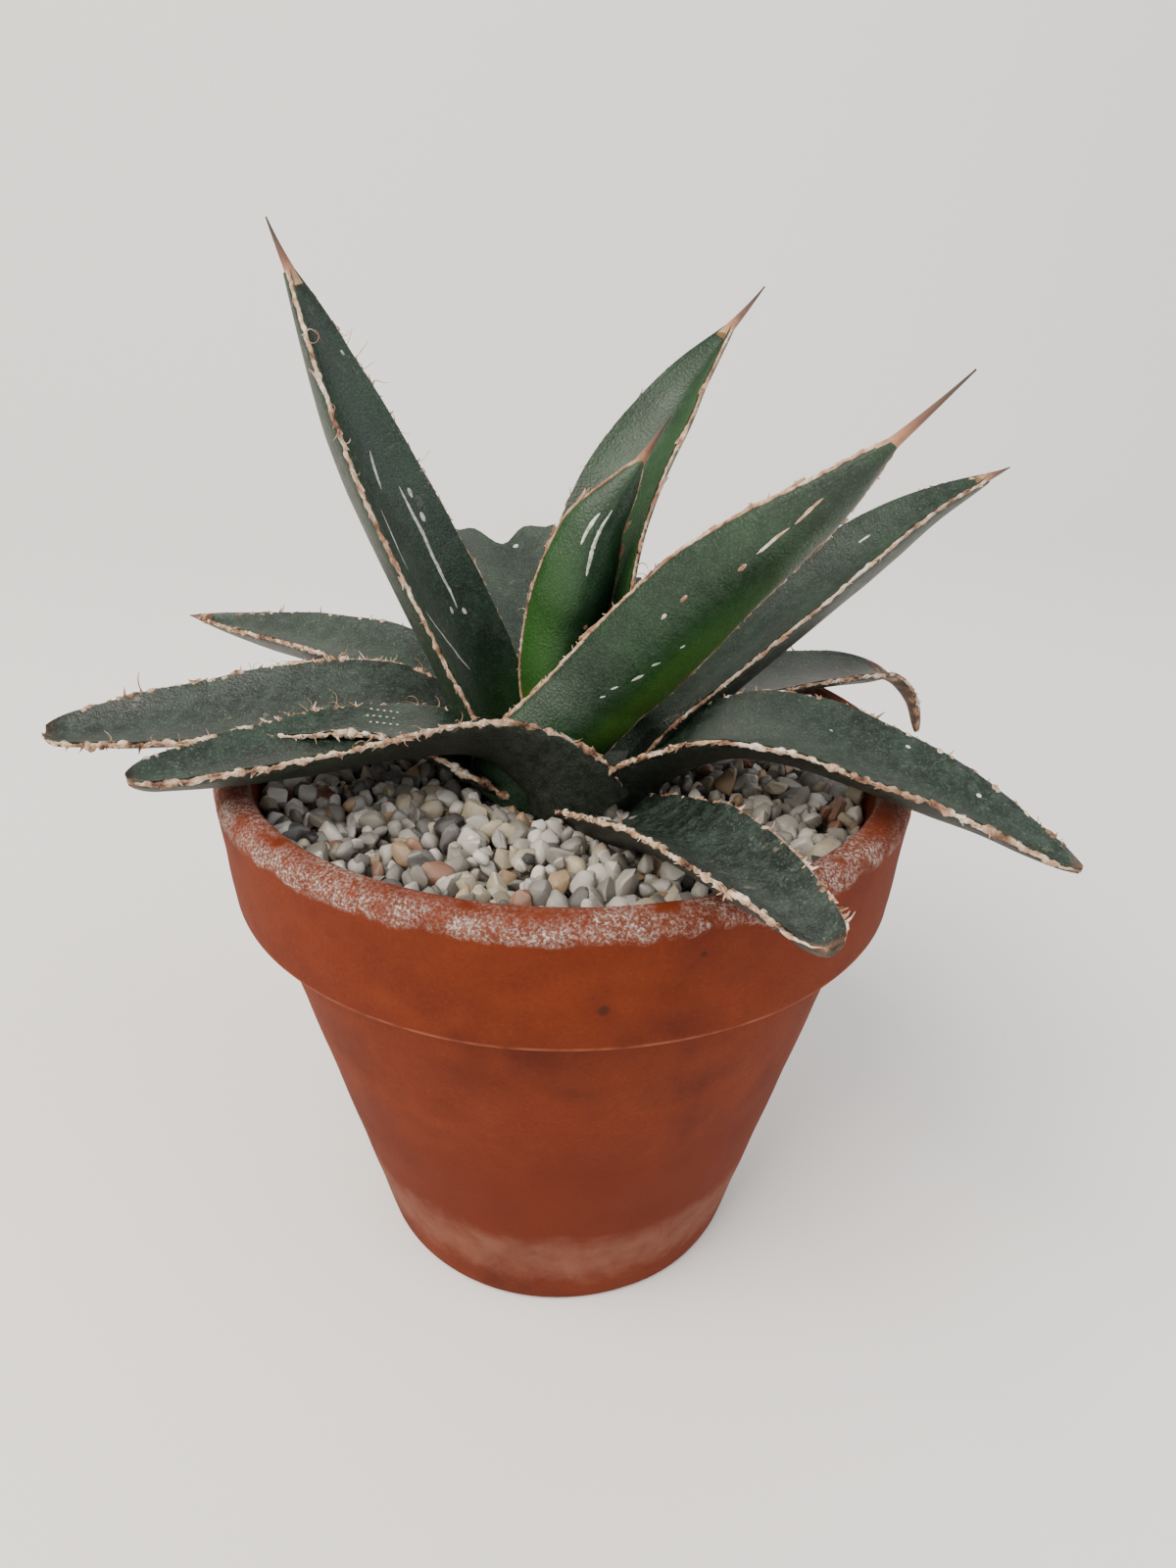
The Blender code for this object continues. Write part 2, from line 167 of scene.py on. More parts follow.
def skinRings(bm, rings, slotIndex, fields, values):
    # the first ring is a loop of edges, each later one is extruded from the one before, and both ends close
    count = len(rings[0])
    part = bmesh.new()
    verts = [part.verts.new(co) for co in rings[0]]
    edges = [part.edges.new((verts[i], verts[(i + 1) % count])) for i in range(count)]
    firstEdges = edges
    numbers = {vert: values(0, i) for i, vert in enumerate(verts)}
    for k, ring in enumerate(rings[1:], 1):
        made = bmesh.ops.extrude_edge_only(part, edges=edges)["geom"]
        fresh = {v for v in made if isinstance(v, bmesh.types.BMVert)}
        edges = [e for e in made if isinstance(e, bmesh.types.BMEdge)]
        verts = [next(e.other_vert(v) for e in v.link_edges if e.other_vert(v) in fresh) for v in verts]
        for i, (vert, co) in enumerate(zip(verts, ring)):
            vert.co = co
            numbers[vert] = values(k, i)
    bmesh.ops.contextual_create(part, geom=firstEdges)
    bmesh.ops.contextual_create(part, geom=edges)
    for face in part.faces:
        face.material_index = slotIndex
    for vert in part.verts:
        for field, number in zip(fields, numbers[vert]):
            fields[field].append(number)
    absorb(bm, part)


def spinProfile(bm, profile, steps):
    # turns a closed outline of (radius, height) points about the upright axis
    verts = [bm.verts.new((radius, 0, height)) for radius, height in profile]
    edges = [bm.edges.new(pair) for pair in zip(verts, verts[1:] + verts[:1])]
    bmesh.ops.spin(bm, geom=verts + edges, cent=(0, 0, 0), axis=(0, 0, 1), dvec=(0, 0, 0), angle=math.tau,
                   steps=steps, use_merge=True, use_duplicate=False)


# Terracotta, unglazed: red-firing clay turned and fired at a low heat. It is matt and open-pored, so
# it darkens where it is damp, and lime from the water dries on it as a white speckled crust. Its grain
# and the specks of lime are finer than a tenth of a millimetre, and are drawn coarser so that they show.

pot = {
    "height": potHigh.z,
    "rimRadius": (potHigh.x - potLow.x) / 2,
    "collarFootRadius": 44.5 * mm,
    "collarFootHeight": 59.3 * mm,
    "collarEdge": 0.5 * mm,
    "bodyTopRadius": 41.2 * mm,
    "baseRadius": 27.4 * mm,
    "baseEdge": 1.4 * mm,
    "lip": 2.2 * mm,
    "mouthRadius": 41.4 * mm,
    "wall": 4.2 * mm,
    "floor": 6 * mm,
    "floorEdge": 2 * mm,
    "drainRadius": 5 * mm,
    "steps": 240,
    "turningDepth": 0.04 * mm,
    "turningPitch": 1.9 * mm,
    "waveDepth": 0.07 * mm,
    "waveLength": 16 * mm,
    "crustDepth": 0.1 * mm,  # how far the lime stands up on the lip
    "chips": ((5.5, 65.0, 0.8), (18.5, 71.0, 0.45), (46.0, 68.5, 0.5)),  # turn from the front, height, size
    "chipDepth": 0.25 * mm,
}

terracotta = {
    "light": "#642509",
    "middle": "#5c1f06",
    "dark": "#521a04",
    "damp": "#571b02",
    "tideMark": "#8d6a58",
    # the pale colour of the painted highlight on the collar's lower edge
    "edgeHighlight": "#96593d",
    "limeFilm": "#a27a68",
    "lime": "#d6c9c0",
    "chip": "#3a1a0e",
    "noises": {
        "broad": (22 * mm, 3, 0.55),
        "patches": (5 * mm, 4, 0.65),
        "grain": (0.5 * mm, 4, 0.7),
        "smear": (3 * mm, 4, 0.55),
        "edgeHighlight": (4 * mm, 3, 0.55),
        "lip": (7 * mm, 3, 0.55),
        "speckle": (0.34 * mm, 5, 0.8),
        "drift": (3.5 * mm, 5, 0.65),
        "film": (1.4 * mm, 4, 0.55),
    },
    "tideSway": 7 * mm,  # how far the noise moves the damp patch and the tide mark up and down
    "limeSway": 4.4 * mm,
}


def makeTerracotta():
    t = terracotta
    made, tree, shader = newMaterial("terracotta")
    place, patterns = placePatterns(tree, t["noises"], potAxis)
    sideways, inward, height = [addNode(tree, "SeparateXYZ", {0: place}, axis) for axis in "XYZ"]
    patches, grain = patterns["patches"], patterns["grain"]
    broadStops = [(0.34, t["dark"]), (0.5, t["light"]), (0.66, t["middle"])]
    colour = addNode(tree, "ValToRGB", {0: patterns["broad"]}, stops=broadStops)
    colour = coat(tree, colour, "#743113", (patches, [(0.42, 0.0), (0.7, 0.3)]))
    colour = coat(tree, colour, "#3c1204", (grain, [(0.5, 0.0), (0.75, 0.4)]))
    colour = coat(tree, colour, "#804024", (grain, [(0.24, 0.35), (0.4, 0.0)]))

    # the damp lower wall is a deeper orange, and a pale tide mark runs round it near the foot
    tide = swayedHeight(tree, height, patches, t["tideSway"])
    colour = coat(tree, colour, t["damp"], bandMask(tree, tide, 18 * mm, 30 * mm, 9 * mm), 0.55)
    smear = (patterns["smear"], [(0.3, 0.4), (0.7, 1.0)])
    colour = coat(tree, colour, t["tideMark"], bandMask(tree, tide, 9 * mm, 13 * mm, 5 * mm), 0.36, smear)

    # painted highlight: a pale line along the collar's lower edge, where the edge catches the light
    foot = pot["collarFootHeight"]
    edge = bandMask(tree, height, foot - 0.05 * mm, foot + 0.45 * mm, 0.25 * mm)
    colour = coat(tree, colour, t["edgeHighlight"], edge, (patterns["edgeHighlight"], [(0.35, 0.05), (0.6, 0.5)]))

    # lime: a speckled crust round the lip, broken up by two sizes of noise and heavier at the front
    lipTide = swayedHeight(tree, height, patterns["lip"], t["limeSway"])
    onLip = bandMask(tree, lipTide, pot["height"] - 1.9 * mm, pot["height"] - 0.5 * mm, 1.2 * mm)
    slant = addNode(tree, "Math", {0: sideways, 1: 0.3}, operation="MULTIPLY")
    depth = addNode(tree, "Math", {0: inward, 1: slant}, operation="ADD")
    front = addNode(tree, "MapRange", {0: depth, 1: -45 * mm, 2: 35 * mm, 3: 1.0, 4: 0.35})
    heavy = cover(tree, onLip, (patterns["drift"], [(0.4, 0.1), (0.62, 1.0)]), front)
    crust = cover(tree, heavy, (patterns["speckle"], [(0.48, 0.0), (0.55, 1.0)]))
    colour = coat(tree, colour, t["limeFilm"], heavy, (patterns["film"], [(0.4, 0.1), (0.65, 0.5)]))
    colour = coat(tree, colour, t["lime"], crust, 0.75)
    uneven = addNode(tree, "Math", {0: grain, 1: 0.5}, operation="SUBTRACT")
    for spot, size in chipPlaces():
        away = addNode(tree, "VectorMath", {0: place, 1: spot}, "Value", operation="DISTANCE")
        away = addNode(tree, "Math", {0: away, 1: cover(tree, uneven, size)}, operation="ADD")
        near = addNode(tree, "MapRange", {0: away, 1: size * 0.6, 2: size, 3: 0.85, 4: 0.0})
        colour = coat(tree, colour, t["chip"], near)
    shader.inputs["Roughness"].default_value = 0.85
    shader.inputs["Specular IOR Level"].default_value = 0.2
    relief = addNode(tree, "Math", {0: cover(tree, grain, 0.5), 1: crust}, operation="ADD")
    surface(tree, shader, colour, relief, 0.12 * mm, 0.8)
    return made


def swayedHeight(tree, height, pattern, sway):
    # the height, moved up and down by a noise so that a level line runs unevenly
    middle = addNode(tree, "Math", {0: pattern, 1: 0.5}, operation="SUBTRACT")
    return addNode(tree, "Math", {0: height, 1: cover(tree, middle, sway)}, operation="ADD")


def bandMask(tree, value, low, high, soft):
    # 1 between two levels, fading to 0 over a soft edge outside them
    smooth = {"interpolation_type": "SMOOTHSTEP"}
    rise = addNode(tree, "MapRange", {0: value, 1: low - soft, 2: low, 3: 0, 4: 1}, **smooth)
    fall = addNode(tree, "MapRange", {0: value, 1: high, 2: high + soft, 3: 1, 4: 0}, **smooth)
    return cover(tree, rise, fall)


def arc(centre, radius, first, last, count):
    angles = [math.radians(first + (last - first) * i / (count - 1)) for i in range(count)]
    return [(centre[0] + radius * math.cos(a), centre[1] + radius * math.sin(a)) for a in angles]


def between(first, last, count):
    return [tuple(a + (b - a) * i / count for a, b in zip(first, last)) for i in range(1, count)]


def potInside(height):
    # the radius of the wall's inner face at a height
    share = (height - pot["floor"]) / (pot["height"] - pot["lip"] - pot["floor"])
    bottom = pot["baseRadius"] - pot["wall"] + 1.2 * mm
    return bottom + (pot["mouthRadius"] - bottom) * share


def makePot():
    p = pot
    top = p["height"] - p["lip"]
    profile = arc((p["baseRadius"] - p["baseEdge"], p["baseEdge"]), p["baseEdge"], -90, -15, 8)
    shoulder = (p["bodyTopRadius"], p["collarFootHeight"] + 0.2 * mm)
    profile += between(profile[-1], shoulder, 24) + [shoulder]
    edge = p["collarEdge"]
    profile += arc((p["collarFootRadius"] - edge, p["collarFootHeight"] + edge), edge, -90, 0, 5)
    profile += between(profile[-1], (p["rimRadius"], top), 16)
    profile += arc((p["rimRadius"] - p["lip"], top), p["lip"], 0, 90, 18)
    inner = p["lip"] * 0.6  # the lip's inner edge is rounded less
    profile += arc((p["mouthRadius"] + inner, p["height"] - inner), inner, 90, 180, 10)
    wallFoot = (potInside(p["floor"] + p["floorEdge"]), p["floor"] + p["floorEdge"])
    profile += between(profile[-1], wallFoot, 12) + [wallFoot]
    profile += [(potInside(p["floor"]) - p["floorEdge"], p["floor"])]
    profile += [(p["drainRadius"], p["floor"]), (p["drainRadius"], 0)]

    bm = bmesh.new()
    spinProfile(bm, profile, p["steps"])
    bmesh.ops.remove_doubles(bm, verts=bm.verts, dist=0.001 * mm)
    for vert in bm.verts:
        roughenPot(vert)
    bmesh.ops.translate(bm, verts=bm.verts, vec=potAxis)
    finishPiece("terracotta_pot", bm, [makeTerracotta()], "terracotta", "pot", sharp=50)


def chipPlaces():
    # where the small knocks in the collar are, from the pot's axis
    for turn, height, size in pot["chips"]:
        angle = math.radians(turn - 90)
        share = (height * mm - pot["collarFootHeight"]) / (pot["height"] - pot["collarFootHeight"])
        radius = pot["collarFootRadius"] + (pot["rimRadius"] - pot["collarFootRadius"]) * share
        yield Vector((math.cos(angle) * radius, math.sin(angle) * radius, height * mm)), size * mm


def roughenPot(vert):
    # faint turning marks, a lime crust that stands up a little on the lip, and small knocks in the collar
    radius = math.hypot(vert.co.x, vert.co.y)
    if vert.co.z < 0.3 * mm or radius < pot["baseRadius"] * 0.9:
        return  # the foot stays flat, and the floor and the drain hole smooth
    wander = noise.noise(vert.co / (12 * mm)) * 2
    depth = pot["turningDepth"] * math.sin(vert.co.z / pot["turningPitch"] + wander)
    depth += pot["waveDepth"] * noise.noise(vert.co / pot["waveLength"])
    onLip = smoothStep(pot["height"] - 6 * mm, pot["height"] - 3 * mm, vert.co.z)
    lime = max(0, noise.noise(vert.co / (1.3 * mm)) + 0.3 * noise.noise(vert.co / (8 * mm)))
    depth += pot["crustDepth"] * (onLip * lime - 1)
    for centre, size in chipPlaces():
        away = (vert.co - centre).length / size
        depth -= pot["chipDepth"] * math.exp(-away * away)
    vert.co += Vector((vert.co.x, vert.co.y, 0)) / radius * depth


makePot()
print("terracotta pot made")


# The leaves, innermost first: the same lines and sizes as the solids, in millimetres and degrees.
# azimuth is counted from the right, anticlockwise from above. line runs midway between the margins as
# (distance from the rosette's axis, height), with a third number where it stands to one side. roll turns
# a leaf about its own line, at the foot and at the tip. fold is how deep its channel is, keel how round its
# back is, foot how wide its foot is against its widest place, and spine how long its spine is. A leaf
# without a spine has a blunt end, a share of its width, and lobes is how deep the end is notched.
# age goes from a young green leaf to an old grey one, ragged is how far the margin frays, curls is how
# many fibres curl up and curlsAt between which shares of the length. dry is where a dead tip starts, and
# withered how much narrower it is. lit is light through the leaf: (side, strength, from, to a share of the
# length), and footGlow how strong the pale foot is. prints are the pale marks that the buds' margins
# pressed into the skin: (face, share of the length and place across at one end, the same at the other end,
# width, 1 for horn or 0 for wax). A few sizes differ from the solids', where the photo is matched closer.

leafBuild = {
    "stations": 120,
    "across": 17,
    "edgeThickness": 0.9 * mm,
    "widestAt": 0.33,
    "ogive": 2.3,
    "clasp": 0.5,
    "wave": 0.25 * mm,
    "roundedFrom": 0.955,
}

leaves = [
    dict(name="leaf_heart", azimuth=-20, roll=(-56, -60), width=10.6, fold=2.2, thick=2.4, spine=6.0,
         line=[(-2, 77, 1), (-2.8, 83, 1), (-2, 90.6, 1), (-0.5, 96.5), (1.8, 104.1), (5, 108.9),
               (7.7, 113)],
         age=0.0, ragged=0.14, lit=(-1, 0.55, 0.3, 1.1),
         prints=[(1, 0.695, -0.4, 0.81, -0.42, 0.4, 0), (1, 0.605, 0.0, 0.84, -0.12, 0.45, 0),
                 (1, 0.435, 0.35, 0.455, 0.35, 0.7, 1)]),
    dict(name="leaf_inner_back", azimuth=42, roll=(0, 0), width=14.5, fold=3.0, thick=2.6, spine=7.8,
         line=[(4, 77), (2.5, 87), (1.8, 96), (3.8, 104.3), (8.2, 111.3), (13.8, 117.2), (18.3, 121.5),
               (25.6, 126.6)],
         age=0.06, ragged=0.3, lit=(-1, 0.3, 0.7, 1.4), prints=[]),
    dict(name="leaf_inner_right", azimuth=-38, roll=(-54, -52), foot=1.2, width=13.2, fold=1.4, keel=1.7,
         thick=2.8, spine=9.5,
         line=[(-2.5, 70, -7), (-0.5, 75.6, -7), (4, 82, -4), (8.4, 87.7, -1.6), (18.2, 99.5), (26, 106.8),
               (32.5, 112.5), (39, 119)],
         age=0.15, ragged=0.45, lit=(1, 0.8, 0.3, 1.05), footGlow=0.45,
         prints=[(1, 0.81, -0.3, 0.87, -0.42, 0.32, 1), (1, 0.73, -0.25, 0.8, -0.3, 0.34, 1),
                 (1, 0.685, -0.2, 0.705, -0.22, 0.5, 1), (1, 0.56, -0.4, 0.58, -0.42, 0.45, 1),
                 (1, 0.51, -0.4, 0.525, -0.42, 0.4, 1), (1, 0.42, 0.08, 0.435, 0.16, 0.45, 0),
                 (1, 0.37, 0.0, 0.395, 0.08, 0.4, 0), (1, 0.33, -0.17, 0.345, -0.12, 0.35, 0),
                 (1, 0.48, 0.25, 0.49, 0.27, 0.3, 0), (1, 0.3, -0.2, 0.31, -0.16, 0.3, 0)]),
    dict(name="leaf_tall_left", azimuth=172, roll=(-12, -12), width=16.5, fold=3.6, thick=3.0, spine=5.8,
         line=[(4, 72), (8.6, 79), (13, 88.5), (16.7, 96), (24, 111), (30, 124.1), (33.7, 132)],
         age=0.42, ragged=0.6, curls=0.8, curlsAt=(0.6, 0.9), lit=(1, 0.25, 0.1, 0.5),
         prints=[(0, 0.345, -0.45, 0.6, -0.55, 0.55, 0), (0, 0.225, -0.15, 0.38, 0.35, 0.42, 0),
                 (0, 0.61, -0.2, 0.68, -0.35, 0.45, 0), (0, 0.57, -0.65, 0.59, -0.66, 0.5, 0),
                 (0, 0.52, -0.65, 0.54, -0.66, 0.6, 0), (0, 0.34, -0.33, 0.355, -0.35, 0.6, 0),
                 (0, 0.325, -0.55, 0.34, -0.55, 0.6, 0), (0, 0.845, -0.8, 0.855, -0.8, 0.4, 0),
                 (0, 0.46, 0.2, 0.58, 0.05, 0.3, 0)]),
    dict(name="leaf_right_back", azimuth=24, roll=(0, 0), width=14.5, fold=3.4, thick=3.2, spine=4.0,
         line=[(5, 72), (9.6, 77.5), (16.9, 82.9), (25.9, 88.8), (39.7, 97.2), (52.5, 103.6), (65, 107)],
         age=0.6, ragged=0.5,
         prints=[(0, 0.8, -0.55, 0.94, -0.6, 0.7, 0), (0, 0.69, 0.5, 0.72, 0.5, 0.4, 0)]),
    dict(name="leaf_front_right", azimuth=-27, roll=(0, 0), width=18.0, fold=2.8, thick=2.4, blunt=0.1,
         line=[(5, 71.5), (9.6, 77.2), (20.6, 83.4), (30, 84.6), (40.1, 83), (51.9, 79.6), (58.8, 76.4),
               (64.3, 73.9)],
         age=0.75, ragged=0.95, dry=0.985,
         prints=[(0, 0.64, 0.8, 0.65, 0.8, 0.4, 0), (0, 0.79, 0.6, 0.8, 0.6, 0.5, 0),
                 (0, 0.5, 0.5, 0.507, 0.5, 0.3, 0)]),
    dict(name="leaf_front_left", azimuth=206, roll=(35, 0), foot=0.95, width=17.5, fold=2.8,
         thick=2.4, blunt=0.26,
         line=[(2, 70.5, 5), (5, 75.8, 4.6), (9.5, 80, 3), (16, 82.4, 0.8), (24.8, 82.9), (36.8, 82.5),
               (48, 81.6), (55.6, 81)],
         age=0.8, ragged=1.0, dry=0.985, curls=1.2, curlsAt=(0.3, 0.62),
         prints=[(0, start + 0.013 * k, x - 0.03 * k, start + 0.013 * k + 0.006, x - 0.03 * k, 0.3, 0)
                 for start, x in ((0.435, -0.78), (0.45, -0.65), (0.45, -0.5)) for k in range(5)]),
    dict(name="leaf_back", azimuth=105, roll=(0, 0), width=23.0, fold=4.0, thick=2.6, blunt=0.72, lobes=1.6,
         line=[(5, 72), (18, 81), (32, 88.5), (47, 94.5)],
         age=0.62, ragged=0.4, prints=[(0, 0.94, -0.25, 0.96, -0.22, 1.0, 0)]),
    dict(name="leaf_back_left", azimuth=150, roll=(0, 0), width=16.5, fold=3.0, thick=2.4, spine=2.5,
         line=[(5, 71), (14, 76.5), (25.2, 80.8), (35.7, 83.2), (49, 83), (68.9, 81)],
         age=0.7, ragged=0.95, prints=[]),
    dict(name="leaf_far_right", azimuth=27, roll=(0, 0), width=13.5, fold=1.8, thick=1.6, blunt=0.12,
         line=[(5, 71), (14, 76.5), (24.1, 80.4), (34.4, 80.7), (43.5, 80.2), (51.3, 78.9), (57, 75.9),
               (61.3, 71.1), (63.5, 65.6)],
         age=0.85, ragged=0.7, dry=0.74, withered=0.5, prints=[]),
    dict(name="leaf_left", azimuth=185, roll=(-8, -8), width=19.0, fold=2.6, thick=2.0, blunt=0.3,
         line=[(5, 69.5), (12, 75.5), (23.8, 82), (36.3, 82.3), (48.8, 80.9), (58.7, 79.6), (67.8, 78.4)],
         age=0.9, ragged=1.25, dry=0.99, curls=1.0, prints=[]),
    dict(name="leaf_back_right", azimuth=76, roll=(0, 0), width=15.0, fold=3.0, thick=2.2, blunt=0.35,
         line=[(5, 70), (15, 76), (28, 81.3), (42, 84.3), (50, 84.6)],
         age=0.75, ragged=0.5, prints=[]),
    dict(name="leaf_front", azimuth=-68, roll=(0, 0), width=13.4, fold=2.8, thick=2.4, blunt=0.3,
         line=[(4, 66.5), (8, 70), (20.2, 75.4), (32.4, 79.7), (44.7, 81.5), (54.4, 81.8), (60.2, 81.2)],
         age=1.0, ragged=0.9, dry=0.975, prints=[]),
]


def smoothCurve(knots, count):
    # evenly spaced points on a smooth curve through the knots, and the direction at each
    knots = [knots[0] * 2 - knots[1], *knots, knots[-1] * 2 - knots[-2]]
    fine = []
    for before, first, second, after in zip(knots, knots[1:], knots[2:], knots[3:]):
        handles = (first + (second - before) / 6, second - (after - first) / 6)
        fine += interpolate_bezier(first, *handles, second, 24)[:-1]
    fine.append(knots[-2])
    run = [0]
    for first, second in zip(fine, fine[1:]):
        run.append(run[-1] + (second - first).length)
    for i in range(count):
        at = run[-1] * i / (count - 1)
        k = min(max(bisect.bisect_right(run, at) - 1, 0), len(fine) - 2)
        share = (at - run[k]) / (run[k + 1] - run[k])
        before, after = fine[max(k - 4, 0)], fine[min(k + 5, len(fine) - 1)]
        yield fine[k].lerp(fine[k + 1], share), (after - before).normalized()


def leafFrames(leaf, count):
    # for each station of a leaf: the middle point and the three axes
    azimuth = math.radians(leaf["azimuth"])
    outward = Vector((math.cos(azimuth), math.sin(azimuth), 0))
    level = Vector((-math.sin(azimuth), math.cos(azimuth), 0))
    knots = []
    for radius, height, *aside in leaf["line"]:
        knots.append(rosetteAxis + (outward * radius + Vector((0, 0, height)) + level * sum(aside)) * mm)
    foot, tip = leaf["roll"]
    frames = []
    for i, (point, along) in enumerate(smoothCurve(knots, count)):
        roll = tip + (foot - tip) * (1 - i / (count - 1)) ** 2
        across = Matrix.Rotation(math.radians(roll), 3, along) @ level
        frames.append((point, along, across, along.cross(across)))
    return frames


def leafWidth(leaf, share):
    # the width at a share of the length, against the widest place
    widest = leafBuild["widestAt"]
    if share < widest:
        return 1 + (leaf.get("foot", 0.8) - 1) * (1 - share / widest) ** 2
    run = (share - widest) / (1 - widest)
    blunt = leaf.get("blunt", 0.05)
    tipShare = clamp((share - leafBuild["roundedFrom"]) / (1 - leafBuild["roundedFrom"]))
    rounding = math.sqrt(1 - 0.9 * tipShare ** 2) if "blunt" in leaf and "lobes" not in leaf else 1
    dryFrom = leaf.get("dry", 1)
    withered = 1 - leaf.get("withered", 0) * smoothStep(dryFrom - 0.08, dryFrom + 0.06, share)
    return (blunt + (1 - blunt) * (1 - run ** leafBuild["ogive"])) * rounding * withered


def leafHeights(leaf, share, x):
    # the upper face and the keeled back at a place across the leaf, above the line of its margins
    narrowing = leafWidth(leaf, share)
    clasp = 1 + leafBuild["clasp"] * max(0, 1 - share / leafBuild["widestAt"]) ** 2
    fold = leaf["fold"] * mm * min(1, narrowing + 0.15) * clasp
    thick = leaf["thick"] * mm * (1.3 - 0.6 * share) * min(1, narrowing + 0.3)
    edge = leafBuild["edgeThickness"]
    upper = fold * (abs(x) ** 1.7 - 1)
    return upper, upper - edge - (thick - edge) * (1 - abs(x) ** leaf.get("keel", 2.2))


def leafPoint(leaf, frames, share, x, face, lift=0.0):
    # a point of the skin: face 0 is the upper one and 1 the back
    at = clamp(share) * (len(frames) - 1)
    k = min(int(at), len(frames) - 2)
    point, along, across, up = [a.lerp(b, at - k) for a, b in zip(frames[k], frames[k + 1])]
    half = leafWidth(leaf, share) * leaf["width"] * mm / 2
    height = leafHeights(leaf, share, x)[face] + (lift if face == 0 else -lift)
    place = point + across * x * half + up * height
    edgeShare = abs(x) ** 3
    place += up * leafBuild["wave"] * edgeShare * noise.noise(Vector((share * 9, x * 2, leaf["azimuth"])))
    lobes = leaf.get("lobes", 0) * mm * smoothStep(0.9, 1, share)
    return place - along * lobes * math.cos(math.tau * x)


def makeBlade(bm, leaf, frames, fields):
    stations, count = leafBuild["stations"], leafBuild["across"]
    rings = []
    for k in range(stations):
        share = k / (stations - 1)
        upper = [leafPoint(leaf, frames, share, -1 + 2 * i / (count - 1), 0) for i in range(count)]
        lower = [leafPoint(leaf, frames, share, 1 - 2 * i / (count - 1), 1) for i in range(count)]
        rings.append(upper + lower)

    def values(k, i):
        share = k / (stations - 1)
        x = -1 + 2 * i / (count - 1) if i < count else 1 - 2 * (i - count) / (count - 1)
        dryFrom = leaf.get("dry", 1.1)
        dry = smoothStep(dryFrom - 0.01, dryFrom + 0.015, share)
        glow = (1 - smoothStep(0.02, 0.36 - 0.2 * leaf["age"], share)) * (1 - 0.9 * leaf["age"])
        glow *= leaf.get("footGlow", 1)
        side, strength, first, last = leaf.get("lit", (1, 0, 0, 1))
        # painted light: one side of the leaf is made paler yellow-green where light comes through it
        lit = smoothStep(-0.3, 0.55, x * side) * strength
        glow = max(glow, lit * (1 - smoothStep(first, last, share)))
        glow *= smoothStep(73 * mm, 80 * mm, rings[k][i].z)  # the deep feet are in the dark
        return share, x, leaf["age"], dry, glow, float(i >= count)

    skinRings(bm, rings, leafSlots["skin"], fields, values)


def tube(bm, points, radii, fields, age, sides=5, flat=1.0, turn=0.0, runs=False):
    # a round or flattened strand of horn through the points; one that runs along the leaf says how far
    rings = []
    for k, point in enumerate(points):
        along = (points[min(k + 1, len(points) - 1)] - points[max(k - 1, 0)]).normalized()
        across = along.cross(Vector((0.31, 0.17, 0.93))).normalized()  # no strand points exactly that way
        across = Matrix.Rotation(turn, 3, along) @ across
        up = along.cross(across)
        ring = []
        for i in range(sides):
            angle = math.tau * i / sides
            ring.append(point + (across * math.cos(angle) + up * math.sin(angle) * flat) * radii[k])
        rings.append(ring)
    last = len(points) - 1

    def values(k, i):
        return k / last if runs else 0.5, 0, age, 0, 0, 0

    skinRings(bm, rings, leafSlots["horn"], fields, values)


margin = {
    "stations": 260,
    "radius": 0.175 * mm,
    "sides": 7,
    "sway": 0.3 * mm,  # how far a fully ragged edge strays
    "teeth": 38,
    "toothLength": (0.5, 1.2),
    "toothWidth": (0.2, 0.36),
    "toothTones": (0.2, 0.5, 1.6),  # times the leaf's age
    "toothTaper": (1, 0.75, 0.42),
    "toothTip": 0.04 * mm,
    "flakes": 44,
    "flakeLength": (1.0, 3.2),
    "flakeWidth": (0.18, 0.36),
    "flakeRise": (0.1, 0.45),
    "flakeTaper": (0.3, 0.8, 1, 1, 0.7, 0.25),
    "curls": 14,
    "curlLength": (1.4, 3.6),
    "curlRadius": 0.09 * mm,
    "curlSteps": 8,
}


def axesAt(frames, share):
    # the three axes of a leaf at a share of its length
    return frames[min(int(share * (len(frames) - 1)), len(frames) - 1)][1:]


def makeCord(leaf, frames, side):
    # the points and radii of the uneven cord that runs along one edge of a leaf
    ragged, count = leaf["ragged"], margin["stations"]
    points, radii = [], []
    for k in range(count):
        share = 0.012 + 0.988 * k / (count - 1)
        seed = Vector((share * 60, side * 3.7, leaf["azimuth"]))
        upper, lower = [leafPoint(leaf, frames, share, side, face) for face in (0, 1)]
        spot = upper * 0.55 + lower * 0.45
        across, up = axesAt(frames, share)[1:]
        sway = 0.08 * mm + ragged * margin["sway"] * noise.noise(seed)
        sway += ragged * 0.2 * mm * noise.noise(seed * 3)
        spot += across * side * sway
        spot += up * ragged * margin["sway"] * noise.noise(seed * 1.3 + Vector((5, 0, 0)))
        points.append(spot)
        swell = 1.05 + (0.2 + 1.0 * ragged) * noise.noise(seed * 1.1)
        swell += 0.6 * ragged * noise.noise(seed * 2.9)
        dryFrom = leaf.get("dry", 1)
        dead = 1 - 0.75 * smoothStep(dryFrom - 0.05, dryFrom + 0.03, share)
        radii.append(margin["radius"] * (0.8 + 0.6 * ragged) * max(swell, 0.2) * min(1, share * 14) * dead)
    return points, radii


